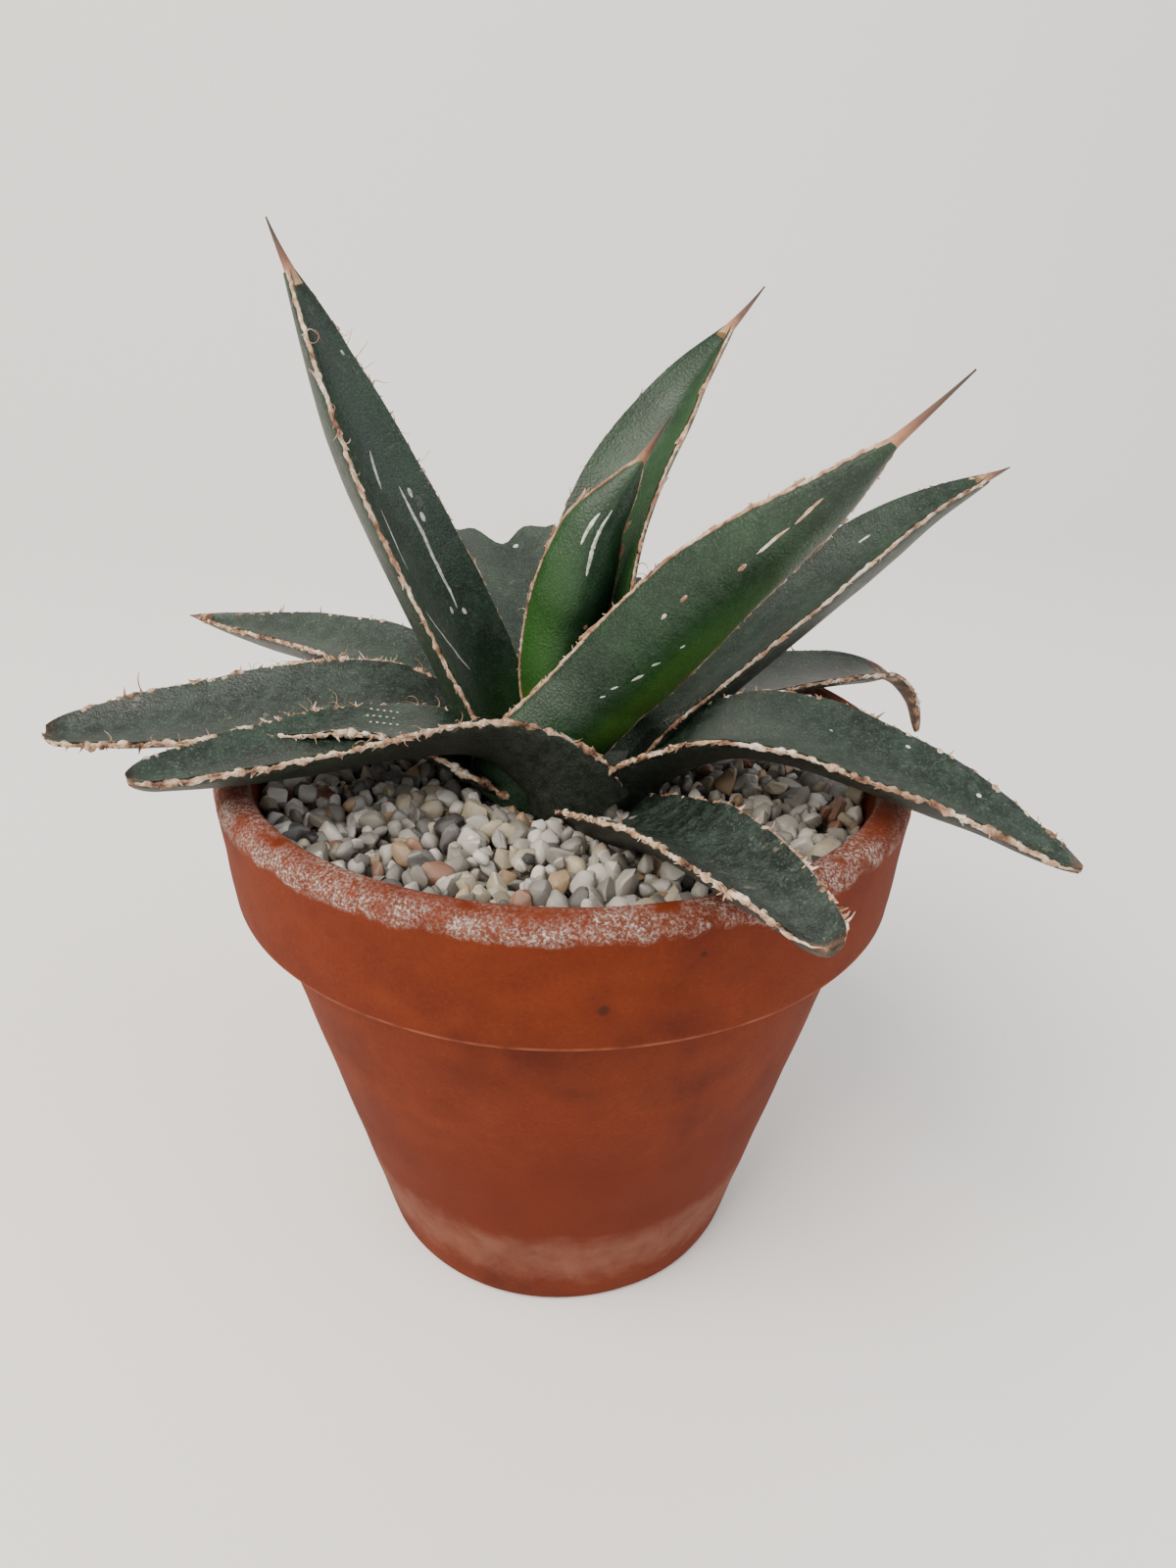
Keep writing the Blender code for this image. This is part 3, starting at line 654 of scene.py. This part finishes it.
def makeMargin(bm, leaf, frames, fields, side):
    # the horny edge: a cord with teeth, flakes and curled fibres where it frays
    draw = random.Random(f"{leaf['name']} {side}")
    cord, radii = makeCord(leaf, frames, side)
    tube(bm, cord, radii, fields, leaf["age"], margin["sides"], flat=1.25, runs=True)
    for _ in range(int(margin["teeth"] * (0.3 + leaf["ragged"]))):
        makeTooth(bm, leaf, frames, fields, side, cord, draw)
    for _ in range(int(margin["flakes"] * leaf["ragged"])):
        makeFlake(bm, leaf, frames, fields, side, cord, draw)
    for _ in range(int(margin["curls"] * leaf.get("curls", 0.1))):
        makeCurl(bm, leaf, frames, fields, side, cord, draw)


def makeTooth(bm, leaf, frames, fields, side, cord, draw):
    share = draw.uniform(0.1, 0.96)
    root = cord[int(share * (len(cord) - 1))]
    along, across, up = axesAt(frames, share)
    length = draw.uniform(*margin["toothLength"]) * mm * (0.5 + 0.7 * leaf["ragged"])
    lean = (across * side + along * draw.uniform(-0.9, 0.9) + up * draw.uniform(-0.5, 0.7)).normalized()
    bend = (along * draw.uniform(-1, 1) + up * draw.uniform(-0.4, 1)) * length * 0.6
    path = [root - lean * 0.2 * mm + lean * length * t + bend * t * t for t in (0, 0.35, 0.7, 1)]
    wide = draw.uniform(*margin["toothWidth"]) * mm
    radii = [wide * taper for taper in margin["toothTaper"]] + [margin["toothTip"]]
    tone = draw.choice(margin["toothTones"])
    tube(bm, path, radii, fields, leaf["age"] * tone, flat=0.5, turn=draw.uniform(0, 3))


def makeFlake(bm, leaf, frames, fields, side, cord, draw):
    # a strip of the edge that peels, with both ends or one end lifted
    share = draw.uniform(0.1, 0.93)
    length = draw.uniform(*margin["flakeLength"]) * mm
    along, across, up = axesAt(frames, share)
    root = cord[int(share * (len(cord) - 1))]
    lift = (across * side * draw.uniform(0.2, 1) + up * draw.uniform(-0.2, 1)).normalized()
    rise, bow = draw.uniform(*margin["flakeRise"]) * mm, draw.choice((-1, 1))
    path = []
    for t in (-0.5, -0.3, -0.1, 0.1, 0.3, 0.5):
        height = rise * (0.4 + 2.4 * abs(t) ** 1.6 * (1 + bow * t))
        path.append(root + along * length * t + lift * height)
    wide = draw.uniform(*margin["flakeWidth"]) * mm
    radii = [wide * taper for taper in margin["flakeTaper"]]
    tube(bm, path, radii, fields, leaf["age"] * draw.uniform(0, 1), flat=0.45, turn=draw.uniform(0, 3))


def makeCurl(bm, leaf, frames, fields, side, cord, draw):
    # a fibre that has come loose and curled up
    share = draw.uniform(*leaf.get("curlsAt", (0.15, 0.9)))
    root = cord[int(share * (len(cord) - 1))]
    along, across, up = axesAt(frames, share)
    length, steps = draw.uniform(*margin["curlLength"]) * mm, margin["curlSteps"]
    start = across * side * draw.uniform(0.2, 1) + up * draw.uniform(0.1, 1) + along * draw.uniform(-1, 1)
    heading = start.normalized()
    spin = Matrix.Rotation(draw.uniform(-0.8, 0.8), 3, across + up * draw.uniform(-1, 1))
    path = [root]
    for _ in range(steps):
        path.append(path[-1] + heading * length / steps)
        heading = spin @ heading
    wide = margin["curlRadius"] * draw.uniform(0.8, 1.8)
    tube(bm, path, [wide * (1 - 0.09 * step) for step in range(steps + 1)], fields, 0.1, flat=0.6)


spine = {
    "rings": 26,
    "sides": 12,
    "back": 1.8 * mm,  # how far it reaches back over the leaf's tip
    "footRadius": 0.62,
    "pointRadius": 0.1,
    "drop": 0.45 * mm,  # its middle is this far below the line of the margins
    "upturn": 0.05,
}


def makeSpine(bm, leaf, frames, fields):
    # the terminal spine: the two margins meet and draw out into a hard round point
    length, back = leaf["spine"] * mm, spine["back"]
    point, along, across, up = frames[-1]
    rings, count = [], spine["rings"]
    for k in range(count):
        reach = -back + (back + length) * k / (count - 1)
        past = clamp(reach / length)
        if reach < 0:
            wide = spine["footRadius"] + 0.42 * -reach / back
            deep = 0.5 + 0.1 * -reach / back
        else:
            wide = spine["pointRadius"] + (spine["footRadius"] - spine["pointRadius"]) * (1 - past) ** 1.25
            deep = wide
        centre = point + along * reach - up * spine["drop"] + up * spine["upturn"] * past * past * length
        ring = []
        for i in range(spine["sides"]):
            angle = math.tau * i / spine["sides"]
            ring.append(centre + (across * math.cos(angle) * wide + up * math.sin(angle) * deep) * mm)
        rings.append(ring)
    skinRings(bm, rings, leafSlots["spine"], fields, lambda k, i: (k / (count - 1), 0, leaf["age"], 0, 0, 0))


def makePrint(bm, leaf, frames, fields, mark):
    # a pale mark: a thin lens that lies on the skin, with its rim and its foot just under it
    face, first, x0, last, x1, wide, horny = mark
    half = leafWidth(leaf, (first + last) / 2) * leaf["width"] * mm / 2
    count = max(7, int((last - first) * 110))
    rings = []
    for k in range(count):
        t = k / (count - 1)
        share = first + (last - first) * t
        taper = math.sqrt(max(0.0, 1 - (2 * t - 1) ** 2)) * 0.85 + 0.15
        reach = wide * mm / 2 / half * taper * (1 + 0.5 * noise.noise(Vector((share * 90, x0 * 9, 3))))
        centre = x0 + (x1 - x0) * t + 0.02 * noise.noise(Vector((share * 25, x0 * 5, 1)))
        section = ((-1, -0.01), (-0.4, 0.03), (0.4, 0.03), (1, -0.01), (0, -0.03))  # (across, lift in mm)
        rings.append([leafPoint(leaf, frames, share, centre + reach * x, face, lift * mm)
                      for x, lift in section])
    slotIndex = leafSlots["horn" if horny else "print"]
    skinRings(bm, rings, slotIndex, fields, lambda k, i: (first, 0, leaf["age"], 0, 0, 0))


# Agave skin: living leaf with a wax bloom. It is a soft satin, dark green under a chalky grey film that
# rubs off in patches, with a fine grain, and paler yellow-green at the foot where no light reached it.
# Its cells are about 0.05 mm wide, and are drawn seven times coarser so that they show as a pebbled grain.

agaveSkin = {
    "young": [(0.32, "#0e2716"), (0.5, "#16341c"), (0.68, "#224427")],
    "old": [(0.32, "#0d1613"), (0.5, "#161f1b"), (0.68, "#242f2a")],
    "fresh": [(0.0, "#183a13"), (0.5, "#2a5a14"), (1.0, "#557b1f")],
    # dull brownish backs of old leaves, darkened further as painted shade
    "oldBackShaded": [(0.35, "#11130e"), (0.68, "#2a2a22")],
    "dead": [(0.38, "#2a1d16"), (0.55, "#5d4332"), (0.7, "#a98b69")],
    "bloom": "#46554d",
    "chalk": "#7d8a80",
    "cell": 0.36 * mm,
    "noises": {
        "cloud": (8 * mm, 4, 0.55),
        "mottle": (1.5 * mm, 4, 0.65),
        "grain": (0.36 * mm, 3, 0.7),
        "scab": (3.4 * mm, 5, 0.7),
        "stain": (1.8 * mm, 4, 0.55),
    },
    "relief": 0.13 * mm,
}


def makeLeafSkin():
    a = agaveSkin
    made, tree, shader = newMaterial("agave_skin")
    place, patterns = placePatterns(tree, a["noises"])
    age, across, glow, under, dry = [addNode(tree, "Attribute", {}, "Fac", attribute_name=name)
                                     for name in ("age", "across", "glow", "under", "dry")]
    cloud, mottle, grain = patterns["cloud"], patterns["mottle"], patterns["grain"]
    young = addNode(tree, "ValToRGB", {0: cloud}, stops=a["young"])
    old = addNode(tree, "ValToRGB", {0: cloud}, stops=a["old"])
    colour = coat(tree, young, old, age)
    waxy = addNode(tree, "Math", {0: cover(tree, age, 0.7), 1: 0.25}, operation="ADD")
    colour = coat(tree, colour, a["bloom"], (mottle, [(0.44, 0.0), (0.7, 0.5)]), waxy)
    colour = coat(tree, colour, "#0c1610", (grain, [(0.5, 0.0), (0.7, 0.5)]))
    chalky = addNode(tree, "Math", {0: age, 1: 0.3}, operation="ADD")
    colour = coat(tree, colour, a["chalk"], (grain, [(0.28, 1.0), (0.42, 0.0)]), chalky, 0.35)

    # yellow-green where the leaf stays pale at its foot and where it is thin against the light
    # the fresh tones carry both the real pale foot and the painted light through the leaf
    fresh = addNode(tree, "ValToRGB", {0: glow}, stops=a["fresh"])
    fresh = coat(tree, fresh, "#234a10", (grain, [(0.45, 0.0), (0.7, 0.6)]))
    colour = coat(tree, colour, fresh, glow)

    # the backs of old leaves are dull and brownish, and their tones are darkened further as painted shade
    # under the leaves
    back = cover(tree, under, age, 0.8)
    colour = coat(tree, colour, addNode(tree, "ValToRGB", {0: mottle}, stops=a["oldBackShaded"]), back)

    # the cells of the skin
    cells = {"Vector": place, "Scale": 1 / a["cell"], "Randomness": 0.9}
    pebble = addNode(tree, "TexVoronoi", cells, "Distance")
    colour = coat(tree, colour, "#4c6247", (pebble, [(0.1, 0.3), (0.4, 0.0)]))

    # stains and scabs, mostly on old leaves, and the dead tip with its straw-coloured patches
    scab = (patterns["scab"], [(0.63, 0.0), (0.69, 1.0)])
    colour = coat(tree, colour, "#7d7a68", scab, cover(tree, age, 0.45))
    dead = addNode(tree, "ValToRGB", {0: patterns["stain"]}, stops=a["dead"])
    colour = coat(tree, colour, dead, dry)

    dull = cover(tree, addNode(tree, "Math", {0: dry, 1: back}, operation="MAXIMUM"), 0.2)
    satin = addNode(tree, "ValToRGB", {0: mottle}, stops=[(0.3, 0.34), (0.7, 0.5)])
    rough = addNode(tree, "Math", {0: satin, 1: dull}, operation="ADD")
    tree.links.new(rough, shader.inputs["Roughness"])
    shader.inputs["Specular IOR Level"].default_value = 0.5
    shader.inputs["IOR"].default_value = 1.45

    # faint ribs run the length of the leaf, and the cells stand up a little
    lines = addNode(tree, "CombineXYZ", {0: cover(tree, across, 9), 1: cover(tree, cloud, 2)})
    ribs = addNode(tree, "TexNoise", {"Vector": lines, "Scale": 1, "Detail": 2, "Roughness": 0.55})
    relief = addNode(tree, "Math", {0: cover(tree, grain, 0.6), 1: cover(tree, ribs, 0.45)}, operation="ADD")
    relief = addNode(tree, "Math", {0: relief, 1: cover(tree, pebble, 0.4)}, operation="SUBTRACT")
    surface(tree, shader, colour, relief, a["relief"], 0.8)
    return made


# Leaf horn: the leaf's own dead, corky edge. It is matt and fibrous, cream to tan, greyer on old leaves.

leafHorn = {
    "fresh": [(0.28, "#5d3c2b"), (0.42, "#96705a"), (0.56, "#bd9d82"), (0.72, "#dfd4c4")],
    "worn": [(0.32, "#33231a"), (0.41, "#7d5f49"), (0.51, "#bfa588"), (0.64, "#e2d7c6")],
    "noises": {"patch": (2.4 * mm, 4, 0.6), "thread": (0.4 * mm, 3, 0.7)},
}


def makeHorn():
    made, tree, shader = newMaterial("leaf_horn")
    patterns = placePatterns(tree, leafHorn["noises"])[1]
    thread = patterns["thread"]
    fresh = addNode(tree, "ValToRGB", {0: patterns["patch"]}, stops=leafHorn["fresh"])
    worn = addNode(tree, "ValToRGB", {0: patterns["patch"]}, stops=leafHorn["worn"])
    age = addNode(tree, "Attribute", {}, "Fac", attribute_name="age")
    colour = coat(tree, fresh, worn, addNode(tree, "Clamp", {0: age}))
    colour = coat(tree, colour, "#3f2a1e", (thread, [(0.5, 0.0), (0.75, 0.6)]))
    shader.inputs["Roughness"].default_value = 0.72
    shader.inputs["Specular IOR Level"].default_value = 0.3
    surface(tree, shader, colour, thread, 0.08 * mm, 0.8)
    return made


# Agave spine: hard smooth leaf tip, like horn. It has a dull gloss, tan at its foot and grey-brown above.

agaveSpine = {
    "length": [(0.0, "#b08a68"), (0.2, "#a07355"), (0.42, "#6d4a3a"), (0.75, "#44342d"), (1.0, "#2e2724")],
    "noises": {"streak": (0.9 * mm, 3, 0.55)},
}


def makeSpineFinish():
    made, tree, shader = newMaterial("agave_spine")
    streak = placePatterns(tree, agaveSpine["noises"])[1]["streak"]
    along = addNode(tree, "Attribute", {}, "Fac", attribute_name="along")
    colour = addNode(tree, "ValToRGB", {0: along}, stops=agaveSpine["length"])
    colour = coat(tree, colour, "#55392b", (streak, [(0.45, 0.0), (0.7, 0.4)]))
    shader.inputs["Roughness"].default_value = 0.48
    surface(tree, shader, colour, streak, 0.05 * mm, 0.5)
    return made


# Bud print: wax and skin scraped pale where a leaf pressed on its neighbour in the bud. Matt grey-white.

budPrint = {
    "tones": [(0.35, "#8d958a"), (0.5, "#bfc2b8"), (0.7, "#dedcd2")],
    "noises": {"patch": (0.8 * mm, 4, 0.7)},
}


def makePrintFinish():
    made, tree, shader = newMaterial("bud_print")
    patch = placePatterns(tree, budPrint["noises"])[1]["patch"]
    colour = addNode(tree, "ValToRGB", {0: patch}, stops=budPrint["tones"])
    tree.links.new(colour, shader.inputs["Base Color"])
    shader.inputs["Roughness"].default_value = 0.7
    shader.inputs["Specular IOR Level"].default_value = 0.3
    return made


leafSlots = {"skin": 0, "horn": 1, "spine": 2, "print": 3}  # the order of the leaf finishes below


def makeLeaf(leaf, finishes):
    bm = bmesh.new()
    fields = {name: [] for name in ("along", "across", "age", "dry", "glow", "under")}
    frames = leafFrames(leaf, leafBuild["stations"])
    makeBlade(bm, leaf, frames, fields)
    for side in (-1, 1):
        makeMargin(bm, leaf, frames, fields, side)
    if "spine" in leaf:
        makeSpine(bm, leaf, frames, fields)
    for mark in leaf["prints"]:
        makePrint(bm, leaf, frames, fields, mark)
    name = leaf["name"].replace("leaf", "agave_leaf")
    return finishPiece(name, bm, finishes, "leaf", leaf["name"], sharp=70, fields=fields)


leafFinishes = [makeLeafSkin(), makeHorn(), makeSpineFinish(), makePrintFinish()]
leafPieces = [makeLeaf(leaf, leafFinishes) for leaf in leaves]
print("leaves made:", len(leafPieces))


# Quartz grit: river-worn vein quartz, crushed, tumbled and washed. The stones are dull and a little
# see-through, white to grey with some cream, tan, rust and slate among them.

grit = {
    "level": 70.5 * mm,
    "dishRadius": 17 * mm,
    "dishDepth": 3.5 * mm,
    "holeRadius": 8.8 * mm,
    "bedFoot": 60.3 * mm,
    "bedGap": 0.4 * mm,  # between the bed and the pot's wall
    "bedSink": 2.0 * mm,  # how far the bed's top is below the middles of the stones
    "bedRings": (30, 22, 17, 13, 10),
    "bedSteps": 96,
    "count": 1380,
    "radius": (0.95, 2.15),
    "largeShare": 0.08,
    "largeScale": 1.25,
    "turnPerStone": 137.508,  # the golden angle, which spreads the stones evenly
    "depths": (0.0, 0.0, 0.6, 1.4),  # how far a stone lies below the top, each as likely
    "leafDrop": 1.8 * mm,  # a stone that would touch a leaf goes this much lower
    "kinds": 10,
    "unevenness": 0.3,
    "wear": 0.13,
    "seed": 7,
}

quartz = {
    "kinds": [(0.0, "#b3afa7"), (0.2, "#979389"), (0.36, "#c6c1b8"), (0.5, "#827f79"), (0.62, "#aea48e"),
              (0.72, "#8f8c86"), (0.8, "#d3cfc6"), (0.86, "#a68c6d"), (0.9, "#62615f"), (0.94, "#8f6a55"),
              (0.965, "#42403f"), (0.988, "#6a3c30")],
    "noises": {"vein": (1.5 * mm, 4, 0.65), "pits": (0.5 * mm, 4, 0.7)},
    "fines": [(0.35, "#4b453d"), (0.55, "#7d766b"), (0.7, "#b3ab9e")],
    "finesNoises": {"speck": (0.9 * mm, 4, 0.8)},
}


def gritHeight(radius):
    # the stones lie level, apart from a shallow dish round the plant
    share = min(radius / grit["dishRadius"], 1)
    return grit["level"] - grit["dishDepth"] * (1 - share * share * (3 - 2 * share))


def makeQuartz():
    made, tree, shader = newMaterial("quartz_grit")
    patterns = placePatterns(tree, quartz["noises"])[1]
    vein = patterns["vein"]
    pick, shade = [addNode(tree, "Attribute", {}, "Fac", attribute_name=name) for name in ("stone", "shade")]
    colour = addNode(tree, "ValToRGB", {0: pick}, stops=quartz["kinds"])
    colour.node.color_ramp.interpolation = "CONSTANT"
    colour = coat(tree, colour, "#e8e4dc", (vein, [(0.42, 0.0), (0.7, 0.6)]), blend="MULTIPLY")
    colour = coat(tree, colour, "#8b8378", (vein, [(0.28, 0.45), (0.44, 0.0)]))
    colour = coat(tree, colour, "#77726a", shade, 0.5, blend="MULTIPLY")
    shader.inputs["Roughness"].default_value = 0.5
    shader.inputs["IOR"].default_value = 1.54
    shader.inputs["Subsurface Weight"].default_value = 0.12
    shader.inputs["Subsurface Radius"].default_value = (0.8, 0.75, 0.7)
    shader.inputs["Subsurface Scale"].default_value = 1.0 * mm
    surface(tree, shader, colour, patterns["pits"], 0.1 * mm, 0.6)
    return made


def makeFines():
    # the dust and chips between the stones
    made, tree, shader = newMaterial("quartz_fines")
    speck = placePatterns(tree, quartz["finesNoises"])[1]["speck"]
    colour = addNode(tree, "ValToRGB", {0: speck}, stops=quartz["fines"])
    shader.inputs["Roughness"].default_value = 0.9
    surface(tree, shader, colour, speck, 0.6 * mm, 1.0)
    return made


def stoneKinds():
    # a few stones to repeat: an uneven icosphere's hull with its edges worn off
    draw = random.Random(grit["seed"])
    kinds = []
    for k in range(grit["kinds"]):
        bm = bmesh.new()
        bmesh.ops.create_icosphere(bm, subdivisions=1, radius=1)
        for vert in bm.verts:
            vert.co += Vector([draw.uniform(-grit["unevenness"], grit["unevenness"]) for _ in range(3)])
        hull = bmesh.ops.convex_hull(bm, input=bm.verts, use_existing_faces=False)
        bmesh.ops.delete(bm, geom=list({g for g in hull["geom_interior"] if g.is_valid}), context="VERTS")
        bmesh.ops.dissolve_limit(bm, angle_limit=math.radians(12), verts=bm.verts, edges=bm.edges)
        bmesh.ops.bevel(bm, geom=bm.edges[:] + bm.verts[:], offset=grit["wear"], offset_type="OFFSET",
                        affect="EDGES", segments=1, profile=0.5, material=-1, clamp_overlap=True)
        mesh = bpy.data.meshes.new(f"stone_{k}")
        bm.to_mesh(mesh)
        bm.free()
        kinds.append(mesh)
    return kinds


def leafTrees():
    # the leaves as trees that can be asked how near they are
    for piece in leafPieces:
        bm = bmesh.new()
        bm.from_mesh(piece.data)
        yield BVHTree.FromBMesh(bm)
        bm.free()


def makeBed(bm, edge):
    # the bed under the stones
    low, hole, sink = grit["bedFoot"], grit["holeRadius"], grit["bedSink"]
    profile = [(hole, low), (potInside(low) - grit["bedGap"], low), (edge, grit["level"] - sink)]
    profile += [(r * mm, gritHeight(r * mm) - sink) for r in grit["bedRings"]]
    profile += [(hole, gritHeight(hole) - sink)]
    spinProfile(bm, profile, grit["bedSteps"])
    bmesh.ops.translate(bm, verts=bm.verts, vec=potAxis)
    for face in bm.faces:
        face.material_index = 1


def makeGrit():
    draw = random.Random(grit["seed"] + 1)
    trees = list(leafTrees())
    kinds = stoneKinds()
    bm = bmesh.new()
    inside, outside = grit["holeRadius"] - 1.5 * mm, potInside(grit["level"]) - grit["bedGap"]
    makeBed(bm, outside)
    fields = {"stone": [0] * len(bm.verts), "shade": [0] * len(bm.verts)}
    for i in range(grit["count"]):
        share = (i + 0.5) / grit["count"]
        size = draw.uniform(*grit["radius"]) * mm
        size *= grit["largeScale"] if draw.random() < grit["largeShare"] else 1
        radius = math.sqrt(inside ** 2 + (outside ** 2 - inside ** 2) * share) + draw.uniform(-0.8, 0.8) * mm
        radius = min(radius, outside - size * 0.8)
        angle = i * math.radians(grit["turnPerStone"]) + draw.uniform(-0.04, 0.04)
        depth = draw.choice(grit["depths"]) * mm
        centre = potAxis + Vector((radius * math.cos(angle), radius * math.sin(angle), 0))
        centre.z = gritHeight(radius) + draw.uniform(-0.5, 0.7) * mm - depth
        nearest = min((tree.find_nearest(centre)[3] or 1) for tree in trees)
        if nearest < size * 0.9:
            centre.z -= grit["leafDrop"]
        turn = Euler([draw.uniform(0, math.tau) for _ in range(3)]).to_matrix().to_4x4()
        flat = Matrix.Diagonal((size * draw.uniform(0.95, 1.25), size * draw.uniform(0.75, 1),
                                size * draw.uniform(0.6, 0.9), 1))
        stone = kinds[draw.randrange(len(kinds))].copy()
        stone.transform(Matrix.Translation(centre) @ turn @ flat)
        bm.from_mesh(stone)
        for field in ("stone", "shade"):
            fields[field] += [draw.random()] * len(stone.vertices)
        bpy.data.meshes.remove(stone)
    for mesh in kinds:
        bpy.data.meshes.remove(mesh)
    finishPiece("quartz_grit", bm, [makeQuartz(), makeFines()], "grit", "grit", sharp=35, fields=fields)


makeGrit()
print("grit made")


# Potting mix: milled peat and bark, damp. It is nearly black and crumbly.

pottingMix = {
    "tones": [(0.35, "#17110c"), (0.55, "#33261b"), (0.72, "#5d4834")],
    "noises": {"crumb": (2.2 * mm, 5, 0.75)},
}


def makeMix():
    made, tree, shader = newMaterial("potting_mix")
    crumb = placePatterns(tree, pottingMix["noises"])[1]["crumb"]
    colour = addNode(tree, "ValToRGB", {0: crumb}, stops=pottingMix["tones"])
    shader.inputs["Roughness"].default_value = 0.95
    surface(tree, shader, colour, crumb, 0.8 * mm, 1.0)
    return made


# Agave stem: living tissue ringed by old leaf scars. It is pale green to straw and a little glossy.

agaveStem = {
    "tones": [(0.35, "#4c4a28"), (0.6, "#7a8a4a")],
    "noises": {"rings": (3 * mm, 4, 0.55)},
    "stretch": (1, 1, 3),  # the scars run round the stem
}


def makeStemFinish():
    made, tree, shader = newMaterial("agave_stem")
    rings = placePatterns(tree, agaveStem["noises"], stretch=agaveStem["stretch"])[1]["rings"]
    colour = addNode(tree, "ValToRGB", {0: rings}, stops=agaveStem["tones"])
    shader.inputs["Roughness"].default_value = 0.6
    surface(tree, shader, colour, rings, 0.3 * mm, 0.7)
    return made


for nodeName, made in (("potting_mix", makeMix()), ("stem", makeStemFinish())):
    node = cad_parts[nodeName]
    node.data.materials.clear()
    node.data.materials.append(made)
print("potting mix and stem finished")


# Studio: a pale paper sweep, a large soft light from the upper left and a weaker one from the right.

studio = {
    "paper": "#f3f1ee",
    "world": "#f4f3f1",
    "worldStrength": 0.72,
    "key": {"place": (-0.55, -0.45, 0.85), "size": 0.9, "power": 21.0, "colour": "#fff6ec"},
    "fill": {"place": (0.7, -0.3, 0.5), "size": 0.8, "power": 4.0, "colour": "#f3f6ff"},
    "aim": (0, 0, 0.07),  # where both lights point
    "floorFront": -1.4,
    "wallBack": 0.75,
    "wallHeight": 1.1,
    "sweepRadius": 0.3,
    "halfWidth": 1.6,
}

view = {
    "place": (0.0, -0.13396, 0.1348),  # from the pot's foot
    "yaw": 0.023,
    "pitch": 0.457,
    "roll": 0.027,
    "sensor": 36,
    "focal": 1110 / 1600 * 36,  # 1110 pixels of the photo's 1600 on its long side
    "nearest": 0.005,
}


def makeSweep():
    s = studio
    made, _, shader = newMaterial("studio_paper")
    shader.inputs["Base Color"].default_value = linear(s["paper"])
    shader.inputs["Roughness"].default_value = 0.9
    bend = s["sweepRadius"]
    outline = [(s["floorFront"], 0.0)] + arc((s["wallBack"] - bend, bend), bend, -90, 0, 16)
    outline += [(s["wallBack"], s["wallHeight"])]
    bm = bmesh.new()
    verts = [bm.verts.new((-s["halfWidth"], y, z)) for y, z in outline]
    edges = [bm.edges.new(pair) for pair in zip(verts, verts[1:])]
    drawn = bmesh.ops.extrude_edge_only(bm, edges=edges)["geom"]
    moved = [v for v in drawn if isinstance(v, bmesh.types.BMVert)]
    bmesh.ops.translate(bm, verts=moved, vec=(2 * s["halfWidth"], 0, 0))
    mesh = bpy.data.meshes.new("studio_sweep")
    bm.to_mesh(mesh)
    bm.free()
    mesh.materials.append(made)
    mesh.shade_smooth()
    sweep = bpy.data.objects.new("studio_sweep", mesh)
    bpy.context.scene.collection.objects.link(sweep)


def makeLights():
    for name in ("key", "fill"):
        s = studio[name]
        light = bpy.data.lights.new("studio_" + name, "AREA")
        light.size = s["size"]
        light.energy = s["power"]
        light.color = linear(s["colour"])[:3]
        lamp = bpy.data.objects.new("studio_" + name, light)
        lamp.location = s["place"]
        lamp.rotation_euler = (Vector(studio["aim"]) - lamp.location).to_track_quat("-Z", "Y").to_euler()
        bpy.context.scene.collection.objects.link(lamp)
    world = bpy.data.worlds.new("studio_world")
    world.use_nodes = True
    background = world.node_tree.nodes["Background"]
    background.inputs["Color"].default_value = linear(studio["world"])
    background.inputs["Strength"].default_value = studio["worldStrength"]
    bpy.context.scene.world = world


def makeCamera():
    yaw, pitch, roll = view["yaw"], view["pitch"], view["roll"]
    ahead = Vector((math.sin(yaw) * math.cos(pitch), math.cos(yaw) * math.cos(pitch), -math.sin(pitch)))
    right = ahead.cross(Vector((0, 0, 1))).normalized()
    up = right.cross(ahead)
    right, up = right * math.cos(roll) + up * math.sin(roll), up * math.cos(roll) - right * math.sin(roll)
    place = Matrix((right, up, -ahead)).transposed().to_4x4()
    place.translation = potAxis + Vector(view["place"])
    data = bpy.data.cameras.new("photo_camera")
    data.sensor_width = view["sensor"]
    data.lens = view["focal"]
    data.clip_start = view["nearest"]
    camera = bpy.data.objects.new("photo_camera", data)
    camera.matrix_world = place
    bpy.context.scene.collection.objects.link(camera)
    bpy.context.scene.camera = camera


makeSweep()
makeLights()
makeCamera()
print("studio made")
